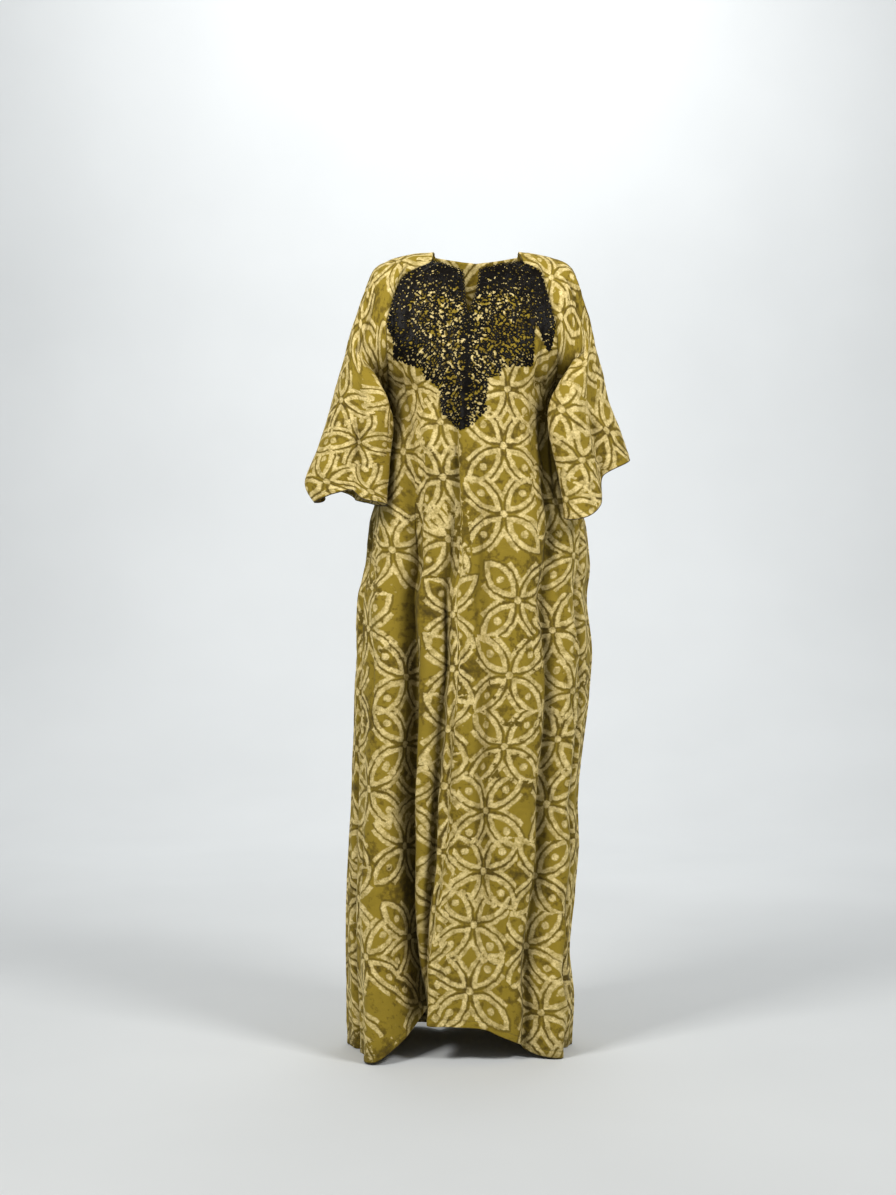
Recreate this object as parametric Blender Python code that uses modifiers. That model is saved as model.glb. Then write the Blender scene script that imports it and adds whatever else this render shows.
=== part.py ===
"""A grand boubou: a floor-length robe of wax-resist cotton with a black lace yoke.

Metres, +Z up. The robe hangs as it does when worn, open at the neck, the cuffs and the hem.
The wearer faces -Y. The origin is between the shoulders, level with the top of the neckline.
A drop is a distance below the origin. A place is where a point is round the robe: 0 at the
centre front, 1 and -1 at the left and right side seams, 2 at the centre back.
"""

from collections import namedtuple
from math import pi

import bmesh
import bpy
import numpy as np
from mathutils import Vector
from mathutils.bvhtree import BVHTree
from mathutils.geometry import delaunay_2d_cdt

# Driving sizes, in metres
WALL = 0.002              # cloth
SEAM_GAP = 0.0010         # between two pieces that are sewn together
UNDERARM_GAP = 0.0036     # the same where three pieces meet
NECK_DROP = 0.0228        # top of the front raglan seams
NAPE_DROP = 0.001         # top of the back raglan seams
BACK_NECK_DROP = 0.008    # neckline at the centre back
SLIT_DROP = 0.135         # foot of the neck slit
UNDERARM_DROP = 0.262     # where the front, back and sleeve meet
FLOOR_DROP = 1.457        # the hem's lowest points just reach the floor
SLEEVE_FLARE = 0.35       # how far the sleeve's outer line runs out for each metre down
RAGLAN_CURVE = 1.15       # how much the raglan seams bow

# Rows run down the cloth and columns run round it
YOKE_ROWS = 10
SLIT_ROWS = 5
SKIRT_ROWS = 20
FRONT_COLUMNS = 38
BACK_COLUMNS = 28
SLEEVE_ROWS = 8
SLEEVE_COLUMNS = 24
CROWDING = 2              # how much closer the columns stand at a fold
CROWDING_REACH = 0.06     # how far to each side of it, as a place
UNDERARM_ROWS = 2         # rows over which the gap widens to the underarm's
SHARPEST_SMOOTH = pi / 4  # bends up to this angle are shaded smooth

# Cross sections of the body. Centre and half_width are along X. Front and back are the Y of the
# centre front and centre back, and the seam columns are the Y of the raglan and side seams.
Section = namedtuple("Section", "drop centre half_width front back front_seam back_seam")
SECTIONS = (
    Section(0.000, 0.002, 0.076, -0.040, 0.066, -0.022, 0.044),
    Section(0.023, 0.003, 0.083, -0.058, 0.074, -0.035, 0.050),
    Section(0.040, 0.000, 0.114, -0.070, 0.081, -0.045, 0.056),
    Section(0.052, -0.006, 0.127, -0.079, 0.086, -0.053, 0.060),
    Section(0.080, -0.009, 0.136, -0.089, 0.094, -0.067, 0.066),
    Section(0.117, -0.009, 0.146, -0.101, 0.101, -0.081, 0.072),
    Section(0.150, -0.008, 0.152, -0.112, 0.106, -0.086, 0.074),
    Section(0.185, -0.007, 0.153, -0.124, 0.108, -0.080, 0.068),
    Section(0.225, -0.007, 0.154, -0.134, 0.107, -0.048, 0.042),
    Section(0.262, -0.007, 0.156, -0.138, 0.105, 0.000, 0.000),
    Section(0.350, -0.007, 0.161, -0.139, 0.104, 0.004, 0.004),
    Section(0.440, -0.002, 0.176, -0.133, 0.108, 0.014, 0.014),
    Section(0.500, 0.003, 0.197, -0.130, 0.112, 0.024, 0.024),
    Section(0.565, 0.003, 0.203, -0.128, 0.118, 0.026, 0.026),
    Section(0.640, -0.007, 0.207, -0.127, 0.124, 0.020, 0.020),
    Section(0.730, -0.004, 0.212, -0.127, 0.130, 0.010, 0.010),
    Section(0.820, -0.008, 0.211, -0.127, 0.136, 0.000, 0.000),
    Section(0.930, -0.016, 0.206, -0.126, 0.142, 0.000, 0.000),
    Section(1.010, -0.021, 0.203, -0.126, 0.146, 0.000, 0.000),
    Section(1.100, -0.022, 0.206, -0.127, 0.149, 0.000, 0.000),
    Section(1.190, -0.028, 0.203, -0.128, 0.152, 0.000, 0.000),
    Section(1.283, -0.032, 0.198, -0.130, 0.155, 0.000, 0.000),
    Section(1.375, -0.027, 0.201, -0.134, 0.158, 0.000, 0.000),
    Section(1.457, -0.028, 0.197, -0.136, 0.160, 0.000, 0.000),
)
SHOULDER_CURVE = 2.2            # how flat a section is between the raglan seams
WAIST_DROPS = (0.262, 0.380)    # where the sections turn from that flat form to ovals

Hem = namedtuple("Hem", "place drop")
HEM = (
    Hem(-2.00, 1.446),
    Hem(-1.50, 1.452),
    Hem(-1.00, 1.456),
    Hem(-0.60, 1.457),
    Hem(-0.44, 1.452),
    Hem(-0.35, 1.424),
    Hem(-0.28, 1.376),
    Hem(-0.24, 1.372),
    Hem(-0.20, 1.388),
    Hem(-0.10, 1.393),
    Hem(0.08, 1.396),
    Hem(0.25, 1.415),
    Hem(0.36, 1.431),
    Hem(0.50, 1.452),
    Hem(0.66, 1.457),
    Hem(1.00, 1.456),
    Hem(1.50, 1.450),
    Hem(2.00, 1.446),
)

# Folds down the body. Places and heights (troughs are negative) are given at the four levels.
# Width is half the fold's width. Lean tips a fold over sideways, as a share of its height.
LEVELS = (0.36, 0.62, 1.00, 1.42)
FOLDS_FADE_IN = (0.20, 0.36)
Fold = namedtuple("Fold", "name places heights width lean")
FOLDS = (
    Fold("right back roll", (-1.62, -1.62, -1.60, -1.58), (0.003, 0.010, 0.015, 0.026), 0.036, 0),
    Fold("right back trough", (-1.30, -1.30, -1.28, -1.26), (-0.004, -0.012, -0.020, -0.030), 0.026, 0),
    Fold("right side ridge", (-1.10, -1.08, -1.06, -1.05), (0.000, 0.004, 0.005, 0.010), 0.022, 0),
    Fold("right side trough", (-0.90, -0.86, -0.84, -0.80), (-0.006, -0.008, -0.010, -0.016), 0.014, 0),
    Fold("right front roll", (-0.69, -0.57, -0.54, -0.45), (0.004, 0.012, 0.020, 0.058), 0.038, 0),
    Fold("right front valley", (-0.48, -0.39, -0.34, -0.275), (-0.009, -0.034, -0.052, -0.090), 0.018, 0),
    Fold("press line crest", (-0.33, -0.27, -0.235, -0.225), (0.003, 0.006, 0.006, -0.010), 0.018, 0),
    Fold("press line trough", (-0.12, -0.15, -0.165, -0.205), (-0.007, -0.014, -0.018, -0.026), 0.011, 0),
    Fold("press line lip", (-0.05, -0.08, -0.10, -0.145), (0.003, 0.007, 0.010, 0.014), 0.012, -0.8),
    Fold("centre trough", (0.06, 0.05, 0.10, 0.17), (-0.002, -0.008, -0.013, -0.006), 0.012, 0),
    Fold("front swell", (0.30, 0.24, 0.28, 0.26), (0.002, 0.008, 0.010, 0.006), 0.040, 0),
    Fold("left front valley", (0.589, 0.418, 0.484, 0.40), (-0.012, -0.020, -0.026, -0.020), 0.015, 0),
    Fold("left front roll", (0.73, 0.57, 0.65, 0.58), (0.001, 0.008, 0.010, 0.034), 0.027, 0),
    Fold("left side trough", (0.84, 0.74, 0.82, 0.83), (-0.008, -0.016, -0.016, -0.022), 0.013, 0),
    Fold("left side ridge", (1.04, 1.03, 1.04, 1.04), (0.000, 0.006, 0.005, 0.008), 0.016, 0),
    Fold("left back trough", (1.16, 1.16, 1.19, 1.20), (-0.004, -0.014, -0.018, -0.028), 0.018, 0),
    Fold("left back roll", (1.40, 1.38, 1.40, 1.42), (0.002, 0.008, 0.014, 0.024), 0.030, 0),
    Fold("left back valley", (1.62, 1.62, 1.64, 1.66), (-0.006, -0.020, -0.030, -0.040), 0.020, 0),
    Fold("centre back roll", (1.92, 1.90, 1.88, 1.88), (0.003, 0.010, 0.014, 0.020), 0.040, 0),
    Fold("centre back trough", (2.08, 2.10, 2.12, 2.14), (-0.004, -0.018, -0.026, -0.036), 0.018, 0),
)

# Rows of a sleeve, from the neck (0) past the underarm (1) to the cuff (2). The ridge is its
# outer line, and under is the line along its inner side. Out is measured from the centre. Swing
# is the pull of the cloth as it leaves the seam or the under line, and crown is the pull across
# the ridge: together they set how full the sleeve is.
SleeveRow = namedtuple(
    "SleeveRow",
    "along centre ridge_out ridge_drop under_out under_drop swing_out swing_front swing_up crown",
)
SLEEVE = (
    SleeveRow(0.00, 0.001, 0.0775, 0.000, 0.157, 0.262, 0.000, -0.012, 0.010, 0.012),
    SleeveRow(0.20, -0.003, 0.1120, 0.004, 0.157, 0.262, 0.000, 0.000, 0.024, 0.032),
    SleeveRow(0.40, -0.002, 0.1530, 0.014, 0.157, 0.262, 0.010, 0.004, 0.036, 0.046),
    SleeveRow(0.60, -0.004, 0.1800, 0.030, 0.157, 0.262, 0.018, 0.012, 0.034, 0.062),
    SleeveRow(0.80, -0.006, 0.1975, 0.075, 0.157, 0.262, 0.026, 0.034, 0.018, 0.084),
    SleeveRow(1.00, -0.008, 0.2140, 0.130, 0.157, 0.262, 0.045, 0.090, 0.004, 0.114),
    SleeveRow(1.20, -0.008, 0.2290, 0.186, 0.169, 0.285, 0.005, 0.130, 0.000, 0.128),
    SleeveRow(1.40, -0.008, 0.2440, 0.240, 0.177, 0.320, -0.035, 0.140, 0.000, 0.134),
    SleeveRow(1.60, -0.008, 0.2590, 0.297, 0.185, 0.362, -0.055, 0.146, 0.000, 0.140),
    SleeveRow(1.80, -0.006, 0.2780, 0.361, 0.193, 0.408, -0.075, 0.150, 0.000, 0.146),
    SleeveRow(2.00, -0.006, 0.2990, 0.418, 0.200, 0.452, -0.090, 0.152, 0.000, 0.150),
)
RIDGE_Y = 0.004
BACK_FULLNESS = 0.86      # the back of a sleeve beside its front
BACK_SWING_OUT = 0.2      # the same for how far it swings across the body's side

# How much lower each cuff hangs than its plain ring. Round runs from the under line (0) over
# the front to the ridge (0.5) and down the back.
Cuff = namedtuple("Cuff", "round right left")
CUFFS = (
    Cuff(0.00, 0.006, -0.004),
    Cuff(0.10, 0.018, 0.032),
    Cuff(0.18, 0.016, 0.052),
    Cuff(0.25, -0.002, 0.034),
    Cuff(0.32, 0.004, -0.016),
    Cuff(0.41, 0.030, -0.028),
    Cuff(0.50, 0.024, -0.038),
    Cuff(0.62, 0.004, -0.034),
    Cuff(0.75, 0.000, -0.026),
    Cuff(0.88, 0.006, -0.010),
    Cuff(1.00, 0.006, -0.004),
)

# Folds down the sleeves, growing from a start along the sleeve to the cuff
SleeveFold = namedtuple("SleeveFold", "start round_start round_cuff height width")
RIGHT_SLEEVE_FOLDS = (
    SleeveFold(0.9, 0.13, 0.12, 0.026, 0.06),
    SleeveFold(0.7, 0.28, 0.25, -0.014, 0.05),
    SleeveFold(1.2, 0.40, 0.39, 0.010, 0.05),
    SleeveFold(1.6, 0.49, 0.48, -0.022, 0.07),
    SleeveFold(1.0, 0.60, 0.62, -0.014, 0.05),
    SleeveFold(1.1, 0.74, 0.74, 0.010, 0.05),
    SleeveFold(1.2, 0.87, 0.87, -0.010, 0.04),
)
LEFT_SLEEVE_FOLDS = (
    SleeveFold(0.7, 0.19, 0.16, 0.038, 0.055),
    SleeveFold(0.7, 0.36, 0.30, -0.018, 0.045),
    SleeveFold(1.2, 0.44, 0.42, 0.008, 0.05),
    SleeveFold(1.0, 0.62, 0.60, -0.012, 0.05),
    SleeveFold(1.1, 0.72, 0.72, 0.010, 0.05),
    SleeveFold(1.2, 0.86, 0.86, -0.012, 0.04),
)

# Tops of the neck slit's edges, and its foot
Spot = namedtuple("Spot", "x drop")
SLIT_RIGHT_TOP = Spot(-0.0236, 0.0479)
SLIT_LEFT_TOP = Spot(0.0070, 0.0445)
SLIT_FOOT = Spot(-0.0160, SLIT_DROP)
SLIT_CURVE = 1.6          # how much the slit's edges bow

# The lace: its scalloped lower edge, from the wearer's right raglan seam to the left one
LACE_WALL = 0.0012
LACE_GAP = 0.0009         # between the lace and the front that it is sewn on
LACE_INSET = 0.0040       # from the raglan seams and the slit
LACE_FOOT = (
    Spot(-0.1490, 0.1700),
    Spot(-0.1470, 0.2050),
    Spot(-0.1149, 0.2170),
    Spot(-0.0968, 0.2295),
    Spot(-0.0879, 0.2460),
    Spot(-0.0719, 0.2550),
    Spot(-0.0630, 0.2717),
    Spot(-0.0630, 0.3050),
    Spot(-0.0513, 0.3170),
    Spot(-0.0380, 0.3325),
    Spot(-0.0240, 0.3380),
    Spot(-0.0082, 0.3290),
    Spot(0.0184, 0.3020),
    Spot(0.0166, 0.2840),
    Spot(0.0210, 0.2450),
    Spot(0.0417, 0.2400),
    Spot(0.0435, 0.2265),
    Spot(0.0685, 0.2222),
    Spot(0.0996, 0.2202),
    Spot(0.1013, 0.2004),
    Spot(0.1052, 0.1402),
    Spot(0.1160, 0.1640),
    Spot(0.1253, 0.1915),
    Spot(0.1330, 0.1900),
)
LACE_RIGHT_CORNER = 0.150     # drops where the lower edge starts and ends at the seams
LACE_LEFT_CORNER = 0.148
LACE_SEAM_POINTS = 8
LACE_NECK_SHARES = (0.25, 0.50, 0.75, 1.00)     # its points between a raglan seam and the slit
LACE_SLIT_SHARES = (0.35, 0.70, 0.98)           # and down the slit

# The lace's larger gaps, which are cut through. They lie in staggered rows.
EYELET_PITCH = 0.0185
EYELET_ROW_PITCH = 0.0160
EYELET_SIDES = 5
EYELET_MARGIN = 0.0020        # of lace left round each
EYELET_RADII = (0.0048, 0.0034, 0.0042, 0.0038)

# Colours, as linear red, green and blue
OLIVE = (0.235, 0.165, 0.030)
OLIVE_SHADE = (0.190, 0.130, 0.024)
BLACK = (0.012, 0.011, 0.011)
COTTON_ROUGHNESS = 0.85
CORD_ROUGHNESS = 0.60


def curve(table, column, at):
    """Reads a column of a table as a smooth curve over its first column, with no overshoot."""
    knots = np.array([row[0] for row in table])
    values = np.array([getattr(row, column) for row in table])
    slopes = np.diff(values) / np.diff(knots)
    same_way = slopes[:-1] * slopes[1:] > 0
    total = np.where(same_way, slopes[:-1] + slopes[1:], 1)
    middle = np.where(same_way, 2 * slopes[:-1] * slopes[1:] / total, 0)
    tangents = np.concatenate([slopes[:1], middle, slopes[-1:]])
    i = np.clip(np.searchsorted(knots, at) - 1, 0, len(knots) - 2)
    step = knots[i + 1] - knots[i]
    u = np.clip((at - knots[i]) / step, 0, 1)
    start = values[i] * (1 + 2 * u) * (1 - u) ** 2 + tangents[i] * step * u * (1 - u) ** 2
    end = values[i + 1] * (3 - 2 * u) * u**2 - tangents[i + 1] * step * (1 - u) * u**2
    return start + end


def ease(low, high, at):
    """Goes smoothly from 0 at low to 1 at high."""
    u = np.clip((at - low) / (high - low), 0, 1)
    return u * u * (3 - 2 * u)


def bell(distance):
    return np.exp(-(distance**2))


Level = namedtuple("Level", "drop value")


def by_level(values, drop):
    """Reads one value for each of the levels as a smooth curve down the robe."""
    return curve([Level(*pair) for pair in zip(LEVELS, values)], "value", drop)


def body_point(place, drop, is_front):
    """A point on the robe's body, folds included."""
    place, drop = np.broadcast_arrays(place, drop)
    across, depth = np.sin(place * pi / 2), np.cos(place * pi / 2)
    half_width = curve(SECTIONS, "half_width", drop)
    seam = curve(SECTIONS, "front_seam" if is_front else "back_seam", drop)
    middle = curve(SECTIONS, "front" if is_front else "back", drop)
    flat = 1 - np.abs(across) ** SHOULDER_CURVE
    share = flat + (np.abs(depth) - flat) * ease(*WAIST_DROPS, drop)
    x = curve(SECTIONS, "centre", drop) + half_width * across
    y = seam + (middle - seam) * share

    outward = np.stack([across / half_width, -depth / np.abs(middle - seam)])
    out_x, out_y = outward / np.linalg.norm(outward, axis=0)
    raised = np.zeros(x.shape)
    tipped = np.zeros(x.shape)
    for fold in FOLDS:
        away = (place - by_level(fold.places, drop) + 2) % 4 - 2
        height = by_level(fold.heights, drop) * bell(away * half_width * pi / 2 / fold.width)
        raised += height
        tipped += height * fold.lean
    shown = ease(*FOLDS_FADE_IN, drop)
    x = x + (out_x * raised - out_y * tipped) * shown
    y = y + (out_y * raised + out_x * tipped) * shown
    return np.stack([x, y, -drop], axis=-1)


def place_at(x, drop, is_front):
    side = (x - curve(SECTIONS, "centre", drop)) / curve(SECTIONS, "half_width", drop)
    place = np.arcsin(np.clip(side, -1, 1)) * 2 / pi
    return place if is_front else 2 - place


def panel_folds(is_front):
    """The folds of one panel, in order along it."""
    if is_front:
        return [fold for fold in FOLDS if abs(fold.places[0]) < 1]
    back = [fold for fold in FOLDS if abs(fold.places[0]) > 1]
    back = [fold._replace(places=tuple(place % 4 for place in fold.places)) for fold in back]
    return sorted(back, key=lambda fold: fold.places[0])


def columns_at(drop, is_front):
    """The place of each column at one level. Columns crowd at the folds and follow them down."""
    folds = panel_folds(is_front)
    low, high = (-1, 1) if is_front else (1, 3)
    middle = (low + high) / 2
    half_count = (FRONT_COLUMNS if is_front else BACK_COLUMNS) // 2
    knee = [by_level(fold.places, LEVELS[2]) for fold in folds]
    halves = []
    for start, end in ((low, middle), (middle, high)):
        fine = np.linspace(start, end, 1001)
        density = 1 + sum(CROWDING * bell((fine - place) / CROWDING_REACH) for place in knee)
        total = np.concatenate([[0], np.cumsum((density[1:] + density[:-1]) / 2)])
        halves.append(np.interp(np.linspace(0, total[-1], half_count + 1), total, fine))
    columns = np.concatenate([halves[0], halves[1][1:]])
    here = [by_level(fold.places, drop) for fold in folds]
    return np.interp(columns, [low, *knee, high], [low, *here, high])


def seam_drop(along, is_front):
    """Drop of a raglan seam, from its end at the neck (0) to the underarm (1)."""
    top = NECK_DROP if is_front else NAPE_DROP
    return top + (UNDERARM_DROP - top) * np.asarray(along) ** RAGLAN_CURVE


def middle_line(is_front, is_left, place):
    """X and drop of a panel's middle at each yoke row. The front's is split by the slit."""
    foot_x = body_point(place, UNDERARM_DROP, is_front)[0]
    if not is_front:
        drops = np.linspace(BACK_NECK_DROP, UNDERARM_DROP, YOKE_ROWS + 1)
        return np.linspace(SECTIONS[0].centre, foot_x, YOKE_ROWS + 1), drops
    top = SLIT_LEFT_TOP if is_left else SLIT_RIGHT_TOP
    slit = np.linspace(0, 1, SLIT_ROWS + 1)
    below = np.linspace(0, 1, YOKE_ROWS - SLIT_ROWS + 1)[1:]
    slit_x = top.x + (SLIT_FOOT.x - top.x) * slit**SLIT_CURVE
    x = np.concatenate([slit_x, SLIT_FOOT.x + (foot_x - SLIT_FOOT.x) * below])
    slit_drop = top.drop + (SLIT_DROP - top.drop) * slit
    return x, np.concatenate([slit_drop, SLIT_DROP + (UNDERARM_DROP - SLIT_DROP) * below])


def yoke_grid(columns, is_front, is_left):
    """Half of a panel above the underarm, as rows of points between its seam and its middle."""
    side = 1 if is_left else -1
    drops = seam_drop(np.linspace(0, 1, YOKE_ROWS + 1), is_front)
    seam_x = curve(SECTIONS, "centre", drops) + side * curve(SECTIONS, "half_width", drops)
    middle_place = columns[0] if is_left == is_front else columns[-1]
    middle_x, middle_drops = middle_line(is_front, is_left, middle_place)
    across = np.sin(columns * pi / 2)
    across_middle = np.sin(middle_place * pi / 2)
    shares = (side - across) / (side - across_middle)
    x = seam_x[:, None] + (middle_x - seam_x)[:, None] * shares
    drop = drops[:, None] + (middle_drops - drops)[:, None] * shares
    return body_point(place_at(x, drop, is_front), drop, is_front)


def skirt_grid(is_front):
    """A panel below the underarm, as rows of points from one side seam to the other."""
    at_hem = columns_at(FLOOR_DROP, is_front)
    hem = curve(HEM, "drop", (at_hem + 2) % 4 - 2)
    rows = []
    for share in np.linspace(0, 1, SKIRT_ROWS + 1):
        level = UNDERARM_DROP + share * (FLOOR_DROP - UNDERARM_DROP)
        drop = UNDERARM_DROP + share * (hem - UNDERARM_DROP)
        rows.append(body_point(columns_at(level, is_front), drop, is_front))
    return np.array(rows)


def panel_grids(is_front):
    """A panel's two halves, each from the neck to the hem, which share their middle column."""
    skirt = skirt_grid(is_front)
    top_columns = columns_at(UNDERARM_DROP, is_front)
    middle = skirt.shape[1] // 2
    grids = []
    for is_second in (False, True):
        part = slice(middle, None) if is_second else slice(0, middle + 1)
        yoke = yoke_grid(top_columns[part], is_front, is_left=is_front == is_second)
        grids.append(np.concatenate([yoke[:-1], skirt[:, part]]))
    return grids


def bezier(a, b, c, d, u):
    return a * (1 - u) ** 3 + 3 * b * u * (1 - u) ** 2 + 3 * c * u**2 * (1 - u) + d * u**3


def sleeve_ring(along, side):
    """A row of a sleeve, from the front seam or the under line over the ridge to the back."""
    row = {name: curve(SLEEVE, name, along) for name in SleeveRow._fields}
    ridge = np.array([row["centre"] + side * row["ridge_out"], RIDGE_Y, -row["ridge_drop"]])
    if along > 1:
        start = np.array([row["centre"] + side * row["under_out"], 0, -row["under_drop"]])
        end = start
    else:
        start = body_point(side, seam_drop(along, True), True)
        end = body_point(side, seam_drop(along, False), False)
    swing = np.array([side * row["swing_out"], -row["swing_front"], row["swing_up"]])
    swing_back = swing * (BACK_SWING_OUT if along > 1 else 1, -BACK_FULLNESS, 1)
    crown = np.array([0, row["crown"], 0])
    half = np.linspace(0, 1, SLEEVE_COLUMNS // 2 + 1)[:, None]
    front = bezier(start, start + swing, ridge - crown, ridge, half)
    back = bezier(ridge, ridge + BACK_FULLNESS * crown, end + swing_back, end, half)
    return np.concatenate([front, back[1:]])


def sleeve_grid(side, folds):
    """A sleeve as rows of points. From the underarm on, each row ends where it starts."""
    above = np.linspace(0, 1, YOKE_ROWS + 1)
    below = np.linspace(1, 2, SLEEVE_ROWS + 1)[1:]
    alongs = np.concatenate([above, below])
    grid = np.array([sleeve_ring(along, side) for along in alongs])
    rounds = np.linspace(0, 1, SLEEVE_COLUMNS + 1)
    outward = np.cross(np.gradient(grid, axis=0), np.gradient(grid, axis=1)) * side
    outward /= np.linalg.norm(outward, axis=-1, keepdims=True)
    for fold in folds:
        grown = ease(fold.start, 2, alongs)[:, None]
        centre = fold.round_start + (fold.round_cuff - fold.round_start) * grown
        raised = grown * fold.height * bell((rounds - centre) / fold.width)
        raised[:, [0, -1]] = 0
        grid += outward * raised[..., None]
    dip = curve(CUFFS, "left" if side > 0 else "right", rounds) * ease(1, 2, alongs)[:, None]
    grid[..., 0] += side * SLEEVE_FLARE * dip
    grid[..., 2] -= dip
    return grid


def quads_of(numbers, is_turned):
    """The faces of a grid of point numbers, seen from outside."""
    rows, columns = numbers.shape
    quads = []
    for r in range(rows - 1):
        for c in range(columns - 1):
            quad = [numbers[r, c], numbers[r + 1, c], numbers[r + 1, c + 1], numbers[r, c + 1]]
            quads.append(quad[::-1] if is_turned else quad)
    return quads


Piece = namedtuple("Piece", "name grids seams is_turned colour")


def seam_moves(grid, first_rows, last_rows):
    """How far each point of a grid moves to stay clear of the pieces sewn beside it."""
    moves = np.zeros(grid.shape)
    for rows, edge, inside in ((first_rows, 0, 1), (last_rows, -1, -2)):
        if rows:
            seam = np.gradient(grid[:rows, edge], axis=0)
            seam /= np.linalg.norm(seam, axis=-1, keepdims=True)
            step = grid[:rows, inside] - grid[:rows, edge]
            step -= seam * (step * seam).sum(-1, keepdims=True)
            step /= np.linalg.norm(step, axis=-1, keepdims=True)
            near_underarm = bell((np.arange(rows) - YOKE_ROWS) / UNDERARM_ROWS)
            gap = SEAM_GAP + (UNDERARM_GAP - SEAM_GAP) * near_underarm
            moves[:rows, edge] = step * gap[:, None] / 2
    return moves


def cloth_pieces(pieces):
    """Makes each piece a wall. Points that meet at a seam share one direction of thickness."""
    points = np.concatenate([grid.reshape(-1, 3) for piece in pieces for grid in piece.grids])
    moves = np.concatenate([
        seam_moves(grid, *rows).reshape(-1, 3)
        for piece in pieces
        for grid, rows in zip(piece.grids, piece.seams)
    ])
    _, number = np.unique(points.round(6), axis=0, return_inverse=True)
    number = number.ravel()
    quads = []
    start = 0
    for piece in pieces:
        faces = []
        for grid in piece.grids:
            rows, columns = grid.shape[:2]
            own = np.arange(start, start + rows * columns).reshape(rows, columns)
            faces += quads_of(own, piece.is_turned)
            start += rows * columns
        quads.append(np.array(faces))

    every_quad = np.concatenate(quads)
    corners = points[every_quad]
    face_normals = np.cross(corners[:, 2] - corners[:, 0], corners[:, 3] - corners[:, 1])
    normals = np.zeros((number.max() + 1, 3))
    for corner in range(4):
        np.add.at(normals, number[every_quad[:, corner]], face_normals)
    normals /= np.linalg.norm(normals, axis=1, keepdims=True)

    objects = []
    for piece, faces in zip(pieces, quads):
        used, own = np.unique(number[faces], return_inverse=True)
        own = own.reshape(faces.shape)
        centre = np.zeros((len(used), 3))
        np.add.at(centre, own.ravel(), (points + moves)[faces.ravel()])
        centre /= np.bincount(own.ravel())[:, None]
        objects.append(wall(piece.name, centre, normals[used], own.tolist(), piece.colour))
    return objects


def wall(name, centre, normals, quads, colour):
    """A closed wall of cloth: an outer skin, an inner skin and a rim round every open edge."""
    mesh = bmesh.new()
    outer = [mesh.verts.new(point) for point in centre + normals * WALL / 2]
    inner = [mesh.verts.new(point) for point in centre - normals * WALL / 2]
    behind = dict(zip(outer, inner))
    for quad in quads:
        mesh.faces.new([outer[i] for i in quad])
    rims = [edge.link_loops[0] for edge in mesh.edges if edge.is_boundary]
    ends = [(loop.vert, loop.link_loop_next.vert) for loop in rims]
    for quad in quads:
        mesh.faces.new([inner[i] for i in reversed(quad)])
    for a, b in ends:
        mesh.faces.new([b, a, behind[a], behind[b]])
    return add_object(name, mesh, colour, COTTON_ROUGHNESS)


def add_object(name, mesh, colour, roughness):
    data = bpy.data.meshes.new(name)
    mesh.to_mesh(data)
    mesh.free()
    data.shade_smooth()
    data.set_sharp_from_angle(angle=SHARPEST_SMOOTH)
    material = bpy.data.materials.new(name)
    material.use_nodes = True
    shader = material.node_tree.nodes["Principled BSDF"]
    shader.inputs["Base Color"].default_value = (*colour, 1)
    shader.inputs["Roughness"].default_value = roughness
    shader.inputs["Metallic"].default_value = 0
    data.materials.append(material)
    obj = bpy.data.objects.new(name, data)
    bpy.data.collections["grand_boubou"].objects.link(obj)
    return obj


def lace_seam(side, corner):
    """Points down the lace's edge beside a raglan seam, from the neck to its corner."""
    drops = np.linspace(NECK_DROP + LACE_INSET, corner, LACE_SEAM_POINTS)
    half_width = curve(SECTIONS, "half_width", drops) - LACE_INSET
    x = curve(SECTIONS, "centre", drops) + side * half_width
    return [Spot(*pair) for pair in zip(x, drops)]


def lace_neck(side, top):
    """Points of the lace's neck and slit edges, from near the raglan seam to the slit's foot."""
    seam_x = SECTIONS[1].centre + side * (SECTIONS[1].half_width - LACE_INSET)
    edge = []
    for share in LACE_NECK_SHARES:
        x = seam_x + (top.x + side * LACE_INSET - seam_x) * share
        edge.append(Spot(x, NECK_DROP + (top.drop - NECK_DROP) * share + LACE_INSET))
    for share in LACE_SLIT_SHARES:
        x = top.x + (SLIT_FOOT.x - top.x) * share**SLIT_CURVE + side * LACE_INSET
        edge.append(Spot(x, top.drop + (SLIT_DROP - top.drop) * share))
    return edge


def lace_outline():
    """The lace's outline, anticlockwise as seen from the front."""
    right_seam = lace_seam(-1, LACE_RIGHT_CORNER)
    left_seam = lace_seam(1, LACE_LEFT_CORNER)
    foot = Spot(SLIT_FOOT.x, SLIT_DROP + LACE_INSET)
    right_neck = lace_neck(-1, SLIT_RIGHT_TOP)
    left_neck = lace_neck(1, SLIT_LEFT_TOP)
    return right_seam + list(LACE_FOOT) + left_seam[::-1] + left_neck + [foot] + right_neck[::-1]


def room_inside(spot, outline):
    """Distance from a spot to an outline, negative outside it."""
    point = np.array(spot)
    a = np.array(outline)
    edge = np.roll(a, -1, axis=0) - a
    share = np.clip(((point - a) * edge).sum(1) / (edge**2).sum(1), 0, 1)
    nearest = np.linalg.norm(a + edge * share[:, None] - point, axis=1).min()
    crosses = (a[:, 1] > point[1]) != (a[:, 1] + edge[:, 1] > point[1])
    rise = np.where(crosses, edge[:, 1], 1)
    at_x = a[:, 0] + edge[:, 0] * (point[1] - a[:, 1]) / rise
    is_inside = np.count_nonzero(crosses & (at_x > point[0])) % 2
    return nearest if is_inside else -nearest


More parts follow.
